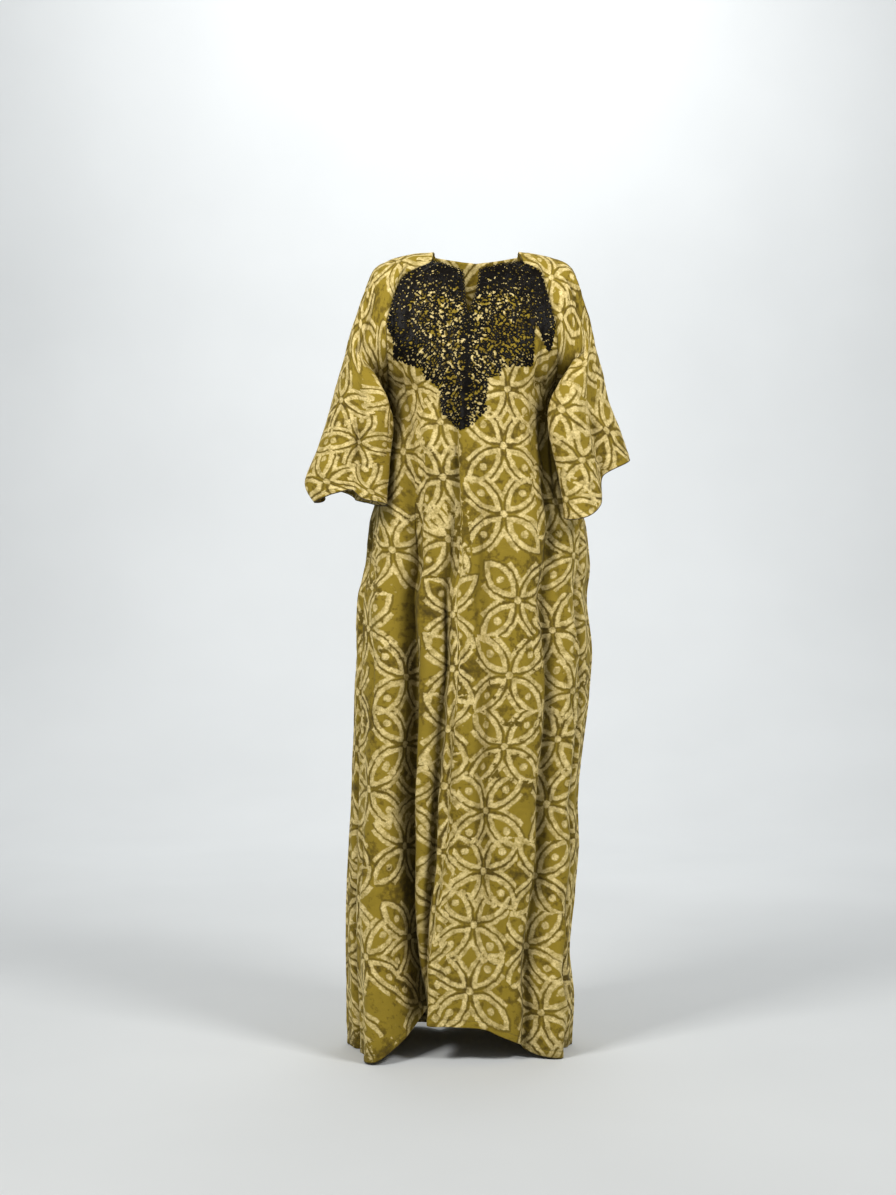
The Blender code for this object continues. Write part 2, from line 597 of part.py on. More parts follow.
def eyelets(outline):
    """The gaps of the lace, in staggered rows, where there is room for them."""
    x_low, drop_low = np.min(outline, axis=0)
    x_high, drop_high = np.max(outline, axis=0)
    found = []
    for row in range(int((drop_high - drop_low) / EYELET_ROW_PITCH) + 1):
        for column in range(int((x_high - x_low) / EYELET_PITCH) + 1):
            x = x_low + (column + row % 2 / 2) * EYELET_PITCH
            drop = drop_low + row * EYELET_ROW_PITCH
            radius = EYELET_RADII[(row + 2 * column) % len(EYELET_RADII)]
            if room_inside((x, drop), outline) < radius + EYELET_MARGIN:
                continue
            angles = row + column - np.arange(EYELET_SIDES) * 2 * pi / EYELET_SIDES
            found.append([Spot(x + radius * np.cos(a), drop + radius * np.sin(a)) for a in angles])
    return found


def outward_at(x, drop):
    """The way out of the front at a spot, read across its folds."""
    step = 0.01
    around = ((x - step, drop), (x + step, drop), (x, drop - step), (x, drop + step))
    points = [body_point(place_at(*spot, True), spot[1], True) for spot in around]
    left, right, up, down = points
    return Vector(np.cross(down - up, right - left)).normalized()


def lift_clear(mesh, surface):
    """Lifts faces of the lace that dip too near the front between their corners."""
    for face in [*mesh.faces, *mesh.faces]:
        corners = [vert.co for vert in face.verts]
        middles = [(corners[i] + corners[i - 1]) / 2 for i in range(3)]
        room = min(
            (surface.ray_cast(Vector((spot.x, -1, spot.z)), Vector((0, 1, 0)))[0] - spot).y
            for spot in [face.calc_center_median(), *middles]
        )
        for vert in face.verts:
            vert.co.y -= max(0, LACE_GAP - room)


def lace_yoke(front):
    """The lace: a pierced sheet laid over the front, then given its thickness."""
    outline = lace_outline()
    flat = []
    edges = []
    loop_of = []
    for number, loop in enumerate([outline] + eyelets(outline)):
        start = len(flat)
        flat += [Vector((spot.x, -spot.drop)) for spot in loop]
        edges += [(start + i, start + (i + 1) % len(loop)) for i in range(len(loop))]
        loop_of += [number] * len(loop)
    inside_only, tolerance = 1, 1e-6
    filled = delaunay_2d_cdt(flat, edges, [], inside_only, tolerance)
    points, _, triangles, origins, _, _ = filled
    loop_of = [loop_of[origin[0]] for origin in origins]

    surface = BVHTree.FromObject(front, bpy.context.evaluated_depsgraph_get())
    mesh = bmesh.new()
    verts = []
    for point in points:
        hit = surface.ray_cast(Vector((point.x, -1, point.y)), Vector((0, 1, 0)))[0]
        verts.append(mesh.verts.new(hit + outward_at(point.x, -point.y) * LACE_GAP))
    for triangle in triangles:
        a, b, c = (loop_of[i] for i in triangle)
        is_eyelet = a == b == c > 0
        if not is_eyelet:
            mesh.faces.new([verts[i] for i in triangle])
    bmesh.ops.recalc_face_normals(mesh, faces=mesh.faces)
    lift_clear(mesh, surface)
    lace = add_object("lace_yoke", mesh, BLACK, CORD_ROUGHNESS)
    solidify = lace.modifiers.new("thickness", "SOLIDIFY")
    solidify.thickness = LACE_WALL
    solidify.offset = 1


def main():
    for obj in list(bpy.data.objects):
        bpy.data.objects.remove(obj)
    robe = bpy.data.collections.new("grand_boubou")
    bpy.context.scene.collection.children.link(robe)

    all_rows = YOKE_ROWS + SKIRT_ROWS + 1
    panel_seams = ((all_rows, 0), (0, all_rows))
    sleeve_seams = ((YOKE_ROWS + 1, YOKE_ROWS + 1),)
    pieces = (
        Piece("front", panel_grids(True), panel_seams, False, OLIVE),
        Piece("back", panel_grids(False), panel_seams, False, OLIVE_SHADE),
        Piece("sleeve_right", [sleeve_grid(-1, RIGHT_SLEEVE_FOLDS)], sleeve_seams, True, OLIVE),
        Piece("sleeve_left", [sleeve_grid(1, LEFT_SLEEVE_FOLDS)], sleeve_seams, False, OLIVE),
    )
    front = cloth_pieces(pieces)[0]
    lace_yoke(front)


main()
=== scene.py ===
from math import pi, radians

import bpy
import numpy as np
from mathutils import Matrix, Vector


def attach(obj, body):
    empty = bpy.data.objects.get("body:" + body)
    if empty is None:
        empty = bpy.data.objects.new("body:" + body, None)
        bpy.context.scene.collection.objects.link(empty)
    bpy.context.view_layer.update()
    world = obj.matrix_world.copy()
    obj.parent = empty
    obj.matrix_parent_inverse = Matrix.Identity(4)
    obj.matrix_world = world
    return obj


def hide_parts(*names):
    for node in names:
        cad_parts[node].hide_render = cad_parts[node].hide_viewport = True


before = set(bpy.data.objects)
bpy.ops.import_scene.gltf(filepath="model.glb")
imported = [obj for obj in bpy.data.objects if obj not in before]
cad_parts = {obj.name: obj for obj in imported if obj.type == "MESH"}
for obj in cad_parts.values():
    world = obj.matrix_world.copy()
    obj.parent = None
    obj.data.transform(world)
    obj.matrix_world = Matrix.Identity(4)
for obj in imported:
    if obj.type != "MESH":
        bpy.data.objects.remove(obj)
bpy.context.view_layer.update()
scene = bpy.context.scene
print("frame loaded:", ", ".join(sorted(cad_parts)))


# Small tools

def ease(low, high, at):
    u = np.clip((at - low) / (high - low), 0, 1)
    return u * u * (3 - 2 * u)


def bell(distance):
    return np.exp(-(distance**2))


def bellAt(middleAndWidth, at):
    middle, width = middleAndWidth
    return bell((at - middle) / width)


def smoothRead(knots, values, at):
    # monotone cubic through the knots, with no overshoot
    knots, values = np.asarray(knots, float), np.asarray(values, float)
    slopes = np.diff(values) / np.diff(knots)
    sameWay = slopes[:-1] * slopes[1:] > 0
    total = np.where(sameWay, slopes[:-1] + slopes[1:], 1)
    middle = np.where(sameWay, 2 * slopes[:-1] * slopes[1:] / total, 0)
    tangents = np.concatenate([slopes[:1], middle, slopes[-1:]])
    i = np.clip(np.searchsorted(knots, at) - 1, 0, len(knots) - 2)
    step = knots[i + 1] - knots[i]
    u = np.clip((at - knots[i]) / step, 0, 1)
    start = values[i] * (1 + 2 * u) * (1 - u) ** 2 + tangents[i] * step * u * (1 - u) ** 2
    end = values[i + 1] * (3 - 2 * u) * u**2 - tangents[i + 1] * step * (1 - u) * u**2
    return start + end


def linear(hexColour):
    # sRGB hex to the linear colour that shaders take
    parts = [int(hexColour[i:i + 2], 16) / 255 for i in (1, 3, 5)]
    return tuple(c / 12.92 if c <= 0.04045 else ((c + 0.055) / 1.055) ** 2.4 for c in parts) + (1,)


def unit(vectors):
    return vectors / np.maximum(np.linalg.norm(vectors, axis=-1, keepdims=True), 1e-12)


def lengthAlong(line):
    # how far along a line of points each of them is
    steps = np.linalg.norm(np.diff(line, axis=0), axis=-1)
    return np.concatenate([[0], steps.cumsum()])


def fromMiddle(grid):
    # how far across the cloth each point is from its middle column
    steps = np.linalg.norm(np.diff(grid, axis=1), axis=-1)
    total = np.concatenate([np.zeros((len(grid), 1)), steps.cumsum(1)], axis=1)
    return total - total[:, grid.shape[1] // 2][:, None]


def softNoise(x, y, size, seed):
    # smooth random heights from -1 to 1, with bumps about this size apart
    table = np.random.default_rng(seed).uniform(-1, 1, (64, 64))
    gridX, gridY = np.asarray(x) / size, np.asarray(y) / size
    i, j = np.floor(gridX).astype(int), np.floor(gridY).astype(int)
    u, v = ease(0, 1, gridX - i), ease(0, 1, gridY - j)
    i0, i1, j0, j1 = i % 64, (i + 1) % 64, j % 64, (j + 1) % 64
    top = table[i0, j0] * (1 - u) + table[i1, j0] * u
    return top * (1 - v) + (table[i0, j1] * (1 - u) + table[i1, j1] * u) * v


# The cut of the body

body = {
    "underarmDrop": 0.262,
    "floorDrop": 1.457,
    "shoulderCurve": 2.2,            # how flat a section is between the raglan seams
    "waistDrops": (0.262, 0.380),    # where sections turn from that flat form to ovals
    "raglanCurve": 1.15,
    "neckDrops": (0.0228, 0.001),    # tops of the front and back raglan seams
    "backNeckDrop": 0.008,
    "slitTops": ((-0.0236, 0.0479), (0.0070, 0.0445)),    # x and drop, right and left
    "slitFoot": (-0.0160, 0.135),
    "slitCurve": 1.6,
    "hemShare": 0.012,               # the turned hem's share of the way down from the underarm
}

# drop, centre, half width, front, back, front seam, back seam
bodySections = np.array((
    (0.000, 0.002, 0.076, -0.040, 0.066, -0.022, 0.044),
    (0.023, 0.003, 0.083, -0.058, 0.074, -0.035, 0.050),
    (0.040, 0.000, 0.114, -0.070, 0.081, -0.045, 0.056),
    (0.052, -0.006, 0.127, -0.079, 0.086, -0.053, 0.060),
    (0.080, -0.009, 0.136, -0.089, 0.094, -0.067, 0.066),
    (0.117, -0.009, 0.146, -0.101, 0.101, -0.081, 0.072),
    (0.150, -0.008, 0.152, -0.112, 0.106, -0.086, 0.074),
    (0.185, -0.007, 0.153, -0.124, 0.108, -0.080, 0.068),
    (0.225, -0.007, 0.154, -0.134, 0.107, -0.048, 0.042),
    (0.262, -0.007, 0.156, -0.138, 0.105, 0.000, 0.000),
    (0.350, -0.007, 0.161, -0.139, 0.104, 0.004, 0.004),
    (0.440, -0.002, 0.176, -0.133, 0.108, 0.014, 0.014),
    (0.500, 0.003, 0.197, -0.130, 0.112, 0.024, 0.024),
    (0.565, 0.003, 0.203, -0.128, 0.118, 0.026, 0.026),
    (0.640, -0.007, 0.207, -0.127, 0.124, 0.020, 0.020),
    (0.730, -0.004, 0.212, -0.127, 0.130, 0.010, 0.010),
    (0.820, -0.008, 0.211, -0.127, 0.136, 0.000, 0.000),
    (0.930, -0.016, 0.206, -0.126, 0.142, 0.000, 0.000),
    (1.010, -0.021, 0.203, -0.126, 0.146, 0.000, 0.000),
    (1.100, -0.022, 0.206, -0.127, 0.149, 0.000, 0.000),
    (1.190, -0.028, 0.203, -0.128, 0.152, 0.000, 0.000),
    (1.283, -0.032, 0.198, -0.130, 0.155, 0.000, 0.000),
    (1.375, -0.027, 0.201, -0.134, 0.158, 0.000, 0.000),
    (1.457, -0.028, 0.197, -0.136, 0.160, 0.000, 0.000),
))
sectionColumn = {"centre": 1, "halfWidth": 2, "front": 3, "back": 4, "frontSeam": 5, "backSeam": 6}

# place and drop of the hem
hemLine = np.array((
    (-2.00, 1.446), (-1.50, 1.452), (-1.00, 1.456), (-0.60, 1.457), (-0.44, 1.452),
    (-0.35, 1.424), (-0.28, 1.376), (-0.24, 1.372), (-0.20, 1.388), (-0.10, 1.393),
    (0.08, 1.396), (0.25, 1.415), (0.36, 1.431), (0.50, 1.452), (0.66, 1.457),
    (1.00, 1.456), (1.50, 1.450), (2.00, 1.446),
))

# the large folds: places and heights at four levels down the robe, half width, sideways lean
foldLevels = (0.36, 0.62, 1.00, 1.42)
foldsFadeIn = (0.20, 0.36)
bodyFolds = (
    ((-1.62, -1.62, -1.60, -1.58), (0.003, 0.010, 0.015, 0.026), 0.036, 0),
    ((-1.30, -1.30, -1.28, -1.26), (-0.004, -0.012, -0.020, -0.030), 0.026, 0),
    ((-1.10, -1.08, -1.06, -1.05), (0.000, 0.004, 0.005, 0.010), 0.022, 0),
    ((-0.90, -0.86, -0.84, -0.80), (-0.006, -0.008, -0.010, -0.016), 0.014, 0),
    ((-0.69, -0.57, -0.54, -0.45), (0.004, 0.012, 0.020, 0.058), 0.038, 0),
    ((-0.48, -0.39, -0.34, -0.275), (-0.009, -0.034, -0.052, -0.090), 0.018, 0),
    ((-0.33, -0.27, -0.235, -0.225), (0.003, 0.006, 0.006, -0.010), 0.018, 0),
    ((-0.12, -0.15, -0.165, -0.205), (-0.007, -0.014, -0.018, -0.026), 0.011, 0),
    ((-0.05, -0.08, -0.10, -0.145), (0.003, 0.007, 0.010, 0.014), 0.012, -0.8),
    ((0.06, 0.05, 0.10, 0.17), (-0.002, -0.008, -0.013, -0.006), 0.012, 0),
    ((0.30, 0.24, 0.28, 0.26), (0.002, 0.008, 0.010, 0.006), 0.040, 0),
    ((0.589, 0.418, 0.484, 0.40), (-0.012, -0.020, -0.026, -0.020), 0.015, 0),
    ((0.73, 0.57, 0.65, 0.58), (0.001, 0.008, 0.010, 0.034), 0.027, 0),
    ((0.84, 0.74, 0.82, 0.83), (-0.008, -0.016, -0.016, -0.022), 0.013, 0),
    ((1.04, 1.03, 1.04, 1.04), (0.000, 0.006, 0.005, 0.008), 0.016, 0),
    ((1.16, 1.16, 1.19, 1.20), (-0.004, -0.014, -0.018, -0.028), 0.018, 0),
    ((1.40, 1.38, 1.40, 1.42), (0.002, 0.008, 0.014, 0.024), 0.030, 0),
    ((1.62, 1.62, 1.64, 1.66), (-0.006, -0.020, -0.030, -0.040), 0.020, 0),
    ((1.92, 1.90, 1.88, 1.88), (0.003, 0.010, 0.014, 0.020), 0.040, 0),
    ((2.08, 2.10, 2.12, 2.14), (-0.004, -0.018, -0.026, -0.036), 0.018, 0),
)

# creases laid over the folds, as x and drop at both ends, height (troughs are
# negative) and half width. The back's are seen from behind, with x still the robe's own.
frontCreases = (
    (-0.135, 0.190, -0.112, 0.420, -0.0047, 0.006),
    (-0.118, 0.160, -0.128, 0.330, 0.0039, 0.008),
    (-0.090, 0.250, -0.060, 0.520, 0.0047, 0.012),
    (-0.085, 0.380, -0.094, 0.640, -0.0034, 0.007),
    (-0.060, 0.120, -0.030, 0.330, -0.0025, 0.009),
    (0.040, 0.110, 0.020, 0.300, -0.0025, 0.010),
    (0.118, 0.140, 0.104, 0.300, -0.0070, 0.007),
    (0.128, 0.150, 0.122, 0.290, 0.0043, 0.006),
    (0.100, 0.240, 0.108, 0.420, -0.0040, 0.006),
    (0.072, 0.300, 0.096, 0.620, 0.0043, 0.012),
    (0.136, 0.300, 0.150, 0.560, -0.0062, 0.006),
    (0.118, 0.360, 0.146, 0.480, 0.0040, 0.007),
    (0.150, 0.420, 0.178, 0.640, 0.0053, 0.008),
    (0.128, 0.540, 0.172, 0.700, -0.0053, 0.006),
    (0.150, 0.600, 0.188, 0.780, 0.0047, 0.007),
    (0.186, 0.640, 0.160, 0.760, -0.0056, 0.006),
    (0.196, 0.700, 0.178, 0.840, 0.0056, 0.007),
    (0.140, 0.740, 0.182, 0.930, -0.0047, 0.006),
    (0.170, 0.860, 0.150, 1.060, 0.0050, 0.009),
    (0.120, 0.960, 0.168, 1.120, -0.0047, 0.007),
    (0.096, 0.880, 0.086, 1.140, 0.0040, 0.010),
    (0.128, 1.130, 0.108, 1.300, -0.0056, 0.008),
    (0.152, 1.180, 0.120, 1.400, 0.0078, 0.011),
    (0.166, 1.250, 0.130, 1.385, -0.0078, 0.008),
    (0.118, 1.330, 0.156, 1.440, 0.0062, 0.009),
    (0.124, 1.290, 0.164, 1.350, -0.0030, 0.010),
    (0.040, 1.180, 0.052, 1.390, -0.0050, 0.009),
    (0.020, 0.700, 0.030, 1.020, 0.0034, 0.014),
    (-0.050, 0.560, -0.070, 0.860, 0.0031, 0.010),
    (-0.070, 0.900, -0.078, 1.220, -0.0040, 0.008),
    (-0.012, 0.420, -0.010, 0.660, 0.0028, 0.008),
    (-0.160, 0.560, -0.150, 0.820, 0.0047, 0.010),
    (-0.182, 0.620, -0.176, 0.900, -0.0040, 0.007),
    (-0.140, 0.900, -0.150, 1.200, -0.0043, 0.008),
    (-0.186, 1.000, -0.178, 1.320, 0.0047, 0.009),
    (-0.196, 1.040, -0.206, 1.260, -0.0047, 0.006),
    (-0.160, 1.280, -0.166, 1.440, 0.0053, 0.010),
    (-0.204, 1.330, -0.180, 1.450, -0.0056, 0.008),
    (-0.100, 0.330, -0.104, 0.700, -0.0070, 0.010),
    (-0.116, 0.300, -0.124, 0.760, 0.0050, 0.010),
    (-0.066, 0.420, -0.070, 0.900, 0.0040, 0.010),
    (-0.120, 0.700, -0.124, 1.240, -0.0070, 0.012),
    (-0.096, 0.760, -0.100, 1.300, 0.0045, 0.012),
    (0.088, 0.480, 0.094, 0.900, -0.0040, 0.010),
    (0.112, 0.620, 0.118, 1.050, 0.0040, 0.010),
    (0.060, 0.900, 0.066, 1.350, -0.0045, 0.011),
    (0.060, 0.420, 0.064, 0.600, -0.0022, 0.008),
    (-0.100, 1.050, -0.104, 1.400, 0.0047, 0.009),
    (0.001, 0.340, 0.003, 0.820, -0.0034, 0.006),
    (-0.0355, 0.300, -0.0365, 0.780, -0.0062, 0.0034),
    (-0.0365, 0.700, -0.0370, 1.140, -0.0071, 0.0036),
    (-0.0370, 1.060, -0.0930, 1.380, -0.0078, 0.0045),
)
backCreases = (
    (-0.110, 0.110, -0.060, 0.300, -0.0045, 0.010),
    (0.100, 0.100, 0.066, 0.310, -0.0042, 0.011),
    (-0.020, 0.060, -0.028, 0.240, 0.0033, 0.014),
    (0.030, 0.200, 0.044, 0.480, -0.0039, 0.009),
    (-0.070, 0.260, -0.090, 0.560, 0.0045, 0.012),
    (0.096, 0.300, 0.110, 0.620, 0.0048, 0.012),
    (-0.120, 0.360, -0.150, 0.700, -0.0051, 0.008),
    (-0.040, 0.500, -0.052, 0.860, -0.0042, 0.010),
    (0.010, 0.560, 0.020, 0.900, 0.0045, 0.013),
    (0.070, 0.620, 0.060, 0.980, -0.0048, 0.009),
    (0.140, 0.560, 0.160, 0.880, 0.0045, 0.010),
    (0.160, 0.760, 0.140, 1.100, -0.0051, 0.009),
    (-0.110, 0.800, -0.100, 1.160, 0.0048, 0.012),
    (-0.170, 0.700, -0.180, 1.060, 0.0042, 0.010),
    (-0.150, 1.020, -0.164, 1.380, -0.0054, 0.009),
    (-0.060, 1.000, -0.070, 1.360, -0.0045, 0.010),
    (0.000, 1.040, -0.006, 1.400, 0.0051, 0.013),
    (0.100, 1.020, 0.112, 1.380, 0.0048, 0.012),
    (0.050, 1.180, 0.036, 1.430, -0.0051, 0.010),
    (0.150, 1.180, 0.136, 1.430, -0.0054, 0.010),
)


def section(name, drop):
    return smoothRead(bodySections[:, 0], bodySections[:, sectionColumn[name]], drop)


def bodyPoint(place, drop, isFront):
    # a point on the robe's body with its large folds, and the way out of it
    place, drop = np.broadcast_arrays(place, drop)
    across, depth = np.sin(place * pi / 2), np.cos(place * pi / 2)
    halfWidth = section("halfWidth", drop)
    seam = section("frontSeam" if isFront else "backSeam", drop)
    middle = section("front" if isFront else "back", drop)
    flat = 1 - np.abs(across) ** body["shoulderCurve"]
    share = flat + (np.abs(depth) - flat) * ease(*body["waistDrops"], drop)
    x = section("centre", drop) + halfWidth * across
    y = seam + (middle - seam) * share
    outX, outY = across / halfWidth, -depth / np.abs(middle - seam)
    length = np.hypot(outX, outY)
    outX, outY = outX / length, outY / length
    raised, tipped = np.zeros(x.shape), np.zeros(x.shape)
    for places, heights, width, lean in bodyFolds:
        away = (place - smoothRead(foldLevels, places, drop) + 2) % 4 - 2
        height = smoothRead(foldLevels, heights, drop) * bell(away * halfWidth * pi / 2 / width)
        raised += height
        tipped += height * lean
    shown = ease(*foldsFadeIn, drop)
    x = x + (outX * raised - outY * tipped) * shown
    y = y + (outY * raised + outX * tipped) * shown
    return np.stack([x, y, -drop], axis=-1)


def hemDrop(place):
    return smoothRead(hemLine[:, 0], hemLine[:, 1], (place + 2) % 4 - 2)


def placeAt(x, drop, isFront):
    side = (x - section("centre", drop)) / section("halfWidth", drop)
    place = np.arcsin(np.clip(side, -1, 1)) * 2 / pi
    return place if isFront else 2 - place


finish = {
    "seamRise": 0.0012,      # the cloth stands this much over the bottom of a seam
    "seamWidth": 0.0030,
    "hem": 0.015,            # the width that is turned up and sewn down
    "hemRise": 0.0009,
    "stitchIn": 0.0125,      # from the edge to the row of stitches
    "stitchDip": 0.0007,
    "seamFade": 0.014,       # folds and creases die away this near a seam
    "hemFade": 0.006,        # and the turned edge of a cuff this near it
}


def seamRise(away):
    return finish["seamRise"] * (1 - bell(away / finish["seamWidth"]))


def hemRise(away):
    fold = ease(finish["hem"] + 0.002, finish["hem"] - 0.001, away) * finish["hemRise"]
    return fold - finish["stitchDip"] * bell((away - finish["stitchIn"]) / 0.002)


def creaseHeight(place, drop, isFront):
    # the listed creases, each a soft trough or ridge that fades at both ends
    place, drop = np.broadcast_arrays(place, drop)
    around = section("halfWidth", drop) * pi / 2
    height = np.zeros(drop.shape)
    for x0, drop0, x1, drop1, tall, width in frontCreases if isFront else backCreases:
        place0, place1 = (float(placeAt(x, d, isFront)) for x, d in ((x0, drop0), (x1, drop1)))
        alongX, alongDrop = (place1 - place0) * around, drop1 - drop0
        offX, offDrop = (place - place0) * around, drop - drop0
        length = alongX**2 + alongDrop**2
        t = (offX * alongX + offDrop * alongDrop) / length
        t = t + 0.035 * np.sin(t * 9 + x0 * 200)
        miss = (offX * alongDrop - offDrop * alongX) / np.sqrt(length)
        miss = miss + 0.35 * width * np.sin(t * 7 + drop0 * 30)
        height += tall * bell(miss / width) * ease(0, 0.35, t) * ease(1, 0.55, t)
    rumple = softNoise(place * 0.3, drop * 0.45, 0.030, 3) + softNoise(place * 0.3, drop, 0.013, 4) / 3
    toSeam = (1 - np.abs(place - (0 if isFront else 2))) * around
    toHem = hemDrop(place) - drop
    height = (height + rumple * 0.0016) * ease(0, finish["seamFade"], toSeam)
    return height + seamRise(toSeam) + hemRise(toHem)


def clothPoint(place, drop, isFront):
    # a point of the cloth as it shows, folds and creases included
    place, drop = np.broadcast_arrays(np.asarray(place, float), np.asarray(drop, float))
    down, sideways = 0.004, 0.004 / 0.3
    point = bodyPoint(place, drop, isFront)
    beside = bodyPoint(place + sideways, drop, isFront) - bodyPoint(place - sideways, drop, isFront)
    below = bodyPoint(place, drop + down, isFront) - bodyPoint(place, drop - down, isFront)
    outward = unit(np.cross(below, beside))
    return point + outward * creaseHeight(place, drop, isFront)[..., None], outward


def columnsAt(drop, isFront, count):
    # the place of each column at one level: columns crowd at the folds and follow them down
    if isFront:
        folds = [f for f in bodyFolds if abs(f[0][0]) < 1]
        low, high = -1, 1
    else:
        folds = [(tuple(p % 4 for p in f[0]),) + f[1:] for f in bodyFolds if abs(f[0][0]) > 1]
        folds.sort(key=lambda f: f[0][0])
        low, high = 1, 3
    knee = [f[0][2] for f in folds]
    halves = []
    for start, end in ((low, (low + high) / 2), ((low + high) / 2, high)):
        fine = np.linspace(start, end, 2001)
        density = 1 + sum(2 * bell((fine - place) / 0.06) for place in knee)
        total = np.concatenate([[0], np.cumsum((density[1:] + density[:-1]) / 2)])
        halves.append(np.interp(np.linspace(0, total[-1], count // 2 + 1), total, fine))
    columns = np.concatenate([halves[0], halves[1][1:]])
    here = [float(smoothRead(foldLevels, f[0], drop)) for f in folds]
    return np.interp(columns, [low, *knee, high], [low, *here, high])


def rowsToHem(count, hemShare):
    # shares of the way down, closer together over the turned hem
    hemRows = 8
    return np.concatenate([np.linspace(0, 1 - hemShare, count - hemRows + 1),
                           np.linspace(1 - hemShare, 1, hemRows + 1)[1:]])


def panelPlaces(isFront, yokeRows, skirtRows, count):
    # place and drop of every point of a panel, as two halves that share the middle column
    top = columnsAt(body["underarmDrop"], isFront, count)
    middle = count // 2
    hem = hemDrop(columnsAt(body["floorDrop"], isFront, count))
    skirtPlaces, skirtDrops = [], []
    for share in rowsToHem(skirtRows, body["hemShare"]):
        level = body["underarmDrop"] + share * (body["floorDrop"] - body["underarmDrop"])
        skirtPlaces.append(columnsAt(level, isFront, count))
        skirtDrops.append(body["underarmDrop"] + share * (hem - body["underarmDrop"]))
    skirtPlaces, skirtDrops = np.array(skirtPlaces), np.array(skirtDrops)

    neckDrop = body["neckDrops"][0 if isFront else 1]
    run = np.linspace(0, 1, yokeRows + 1)
    drops = neckDrop + (body["underarmDrop"] - neckDrop) * run ** body["raglanCurve"]
    halves = []
    for isSecond in (False, True):
        isLeft = isFront == isSecond
        side = 1 if isLeft else -1
        part = slice(middle, None) if isSecond else slice(0, middle + 1)
        columns = top[part]
        middlePlace = columns[0] if isSecond else columns[-1]
        footX = bodyPoint(middlePlace, body["underarmDrop"], isFront)[0]
        if isFront:
            (topX, topDrop), (slitX, slitDrop) = body["slitTops"][int(isLeft)], body["slitFoot"]
            inSlit = np.linspace(0, 1, yokeRows // 2 + 1)
            under = np.linspace(0, 1, yokeRows - yokeRows // 2 + 1)[1:]
            middleX = np.concatenate([
                topX + (slitX - topX) * inSlit ** body["slitCurve"], slitX + (footX - slitX) * under])
            middleDrop = np.concatenate([
                topDrop + (slitDrop - topDrop) * inSlit,
                slitDrop + (body["underarmDrop"] - slitDrop) * under])
        else:
            middleX = np.linspace(bodySections[0, 1], footX, yokeRows + 1)
            middleDrop = np.linspace(body["backNeckDrop"], body["underarmDrop"], yokeRows + 1)
        seamX = section("centre", drops) + side * section("halfWidth", drops)
        across, acrossMiddle = np.sin(columns * pi / 2), np.sin(middlePlace * pi / 2)
        shares = (side - across) / (side - acrossMiddle)
        x = seamX[:, None] + (middleX - seamX)[:, None] * shares
        drop = drops[:, None] + (middleDrop - drops)[:, None] * shares
        place = placeAt(x, drop, isFront)
        halves.append((np.concatenate([place[:-1], skirtPlaces[:, part]]),
                       np.concatenate([drop[:-1], skirtDrops[:, part]])))
    return halves


# The cut of the sleeves

# from the neck (0) past the underarm (1) to the cuff (2). The ridge is the outer line, under is
# the line along the inner side, swing is the pull of the cloth as it leaves the seam or the
# under line, and crown the pull across the ridge.
sleeveNames = ("along", "centre", "ridgeOut", "ridgeDrop", "underOut", "underDrop",
               "swingOut", "swingFront", "swingUp", "crown")
sleeveRows = np.array((
    (0.00, 0.001, 0.0775, 0.000, 0.157, 0.262, 0.000, -0.012, 0.010, 0.012),
    (0.20, -0.003, 0.1120, 0.004, 0.157, 0.262, 0.000, 0.000, 0.024, 0.032),
    (0.40, -0.002, 0.1530, 0.014, 0.157, 0.262, 0.010, 0.004, 0.036, 0.046),
    (0.60, -0.004, 0.1800, 0.030, 0.157, 0.262, 0.018, 0.012, 0.034, 0.062),
    (0.80, -0.006, 0.1975, 0.075, 0.157, 0.262, 0.026, 0.034, 0.018, 0.084),
    (1.00, -0.008, 0.2140, 0.130, 0.157, 0.262, 0.045, 0.090, 0.004, 0.114),
    (1.20, -0.008, 0.2290, 0.186, 0.169, 0.285, 0.005, 0.130, 0.000, 0.128),
    (1.40, -0.008, 0.2440, 0.240, 0.177, 0.320, -0.035, 0.140, 0.000, 0.134),
    (1.60, -0.008, 0.2590, 0.297, 0.185, 0.362, -0.055, 0.146, 0.000, 0.140),
    (1.80, -0.006, 0.2780, 0.361, 0.193, 0.408, -0.075, 0.150, 0.000, 0.146),
    (2.00, -0.006, 0.2990, 0.418, 0.200, 0.452, -0.090, 0.152, 0.000, 0.150),
))
sleeveCut = {
    "ridgeY": 0.004,
    "backFullness": 0.86,
    "backSwingOut": 0.2,
    "flare": 0.35,
    "lobe": {-1: 0.014, 1: 0.019},    # how far the front's inner side laps over the body
    "curl": {-1: 0.026, 1: 0.003},    # how far the outer corner of the cuff turns in
    "puff": {-1: 0.017, 1: 0.0},      # and how far the cloth bulges out above it
    "curlRound": (0.48, 0.15),        # round the sleeve: the middle and the half width
    "curlAlong": (1.8606, 0.14),      # along it: the start and the length
    "curlLean": (0.5, 0.1),           # how much of the curl goes forward and down
    "puffRound": (0.46, 0.15),
    "puffAlong": (1.86, 0.14),
    "lobeRound": (0.17, 0.065),
    "lapAlong": (1.35, 0.34),         # the middle and half length of the lobe
    "inward": 0.015,                  # how far the inner side leans in to the body there
    "inwardRound": (0.12, 0.10),
    "girth": 0.46,                    # round the sleeve and along one row's unit, for creases
    "unitLength": 0.30,
    "cuffUnit": 0.29,                 # the same unit by the cuff
    "hemShare": 0.055,
    "rowsAbove": 52,
    "rowsBelow": 88,
    "columns": 144,
}
# round, then how much lower the right and left cuffs hang there
cuffLine = np.array((
    (0.00, 0.006, -0.004), (0.10, 0.018, 0.032), (0.18, 0.018, 0.052), (0.25, 0.006, 0.034),
    (0.32, 0.020, -0.016), (0.40, 0.041, -0.027), (0.50, 0.024, -0.038), (0.62, 0.004, -0.034),
    (0.75, 0.000, -0.026), (0.88, 0.006, -0.010), (1.00, 0.006, -0.004),
))
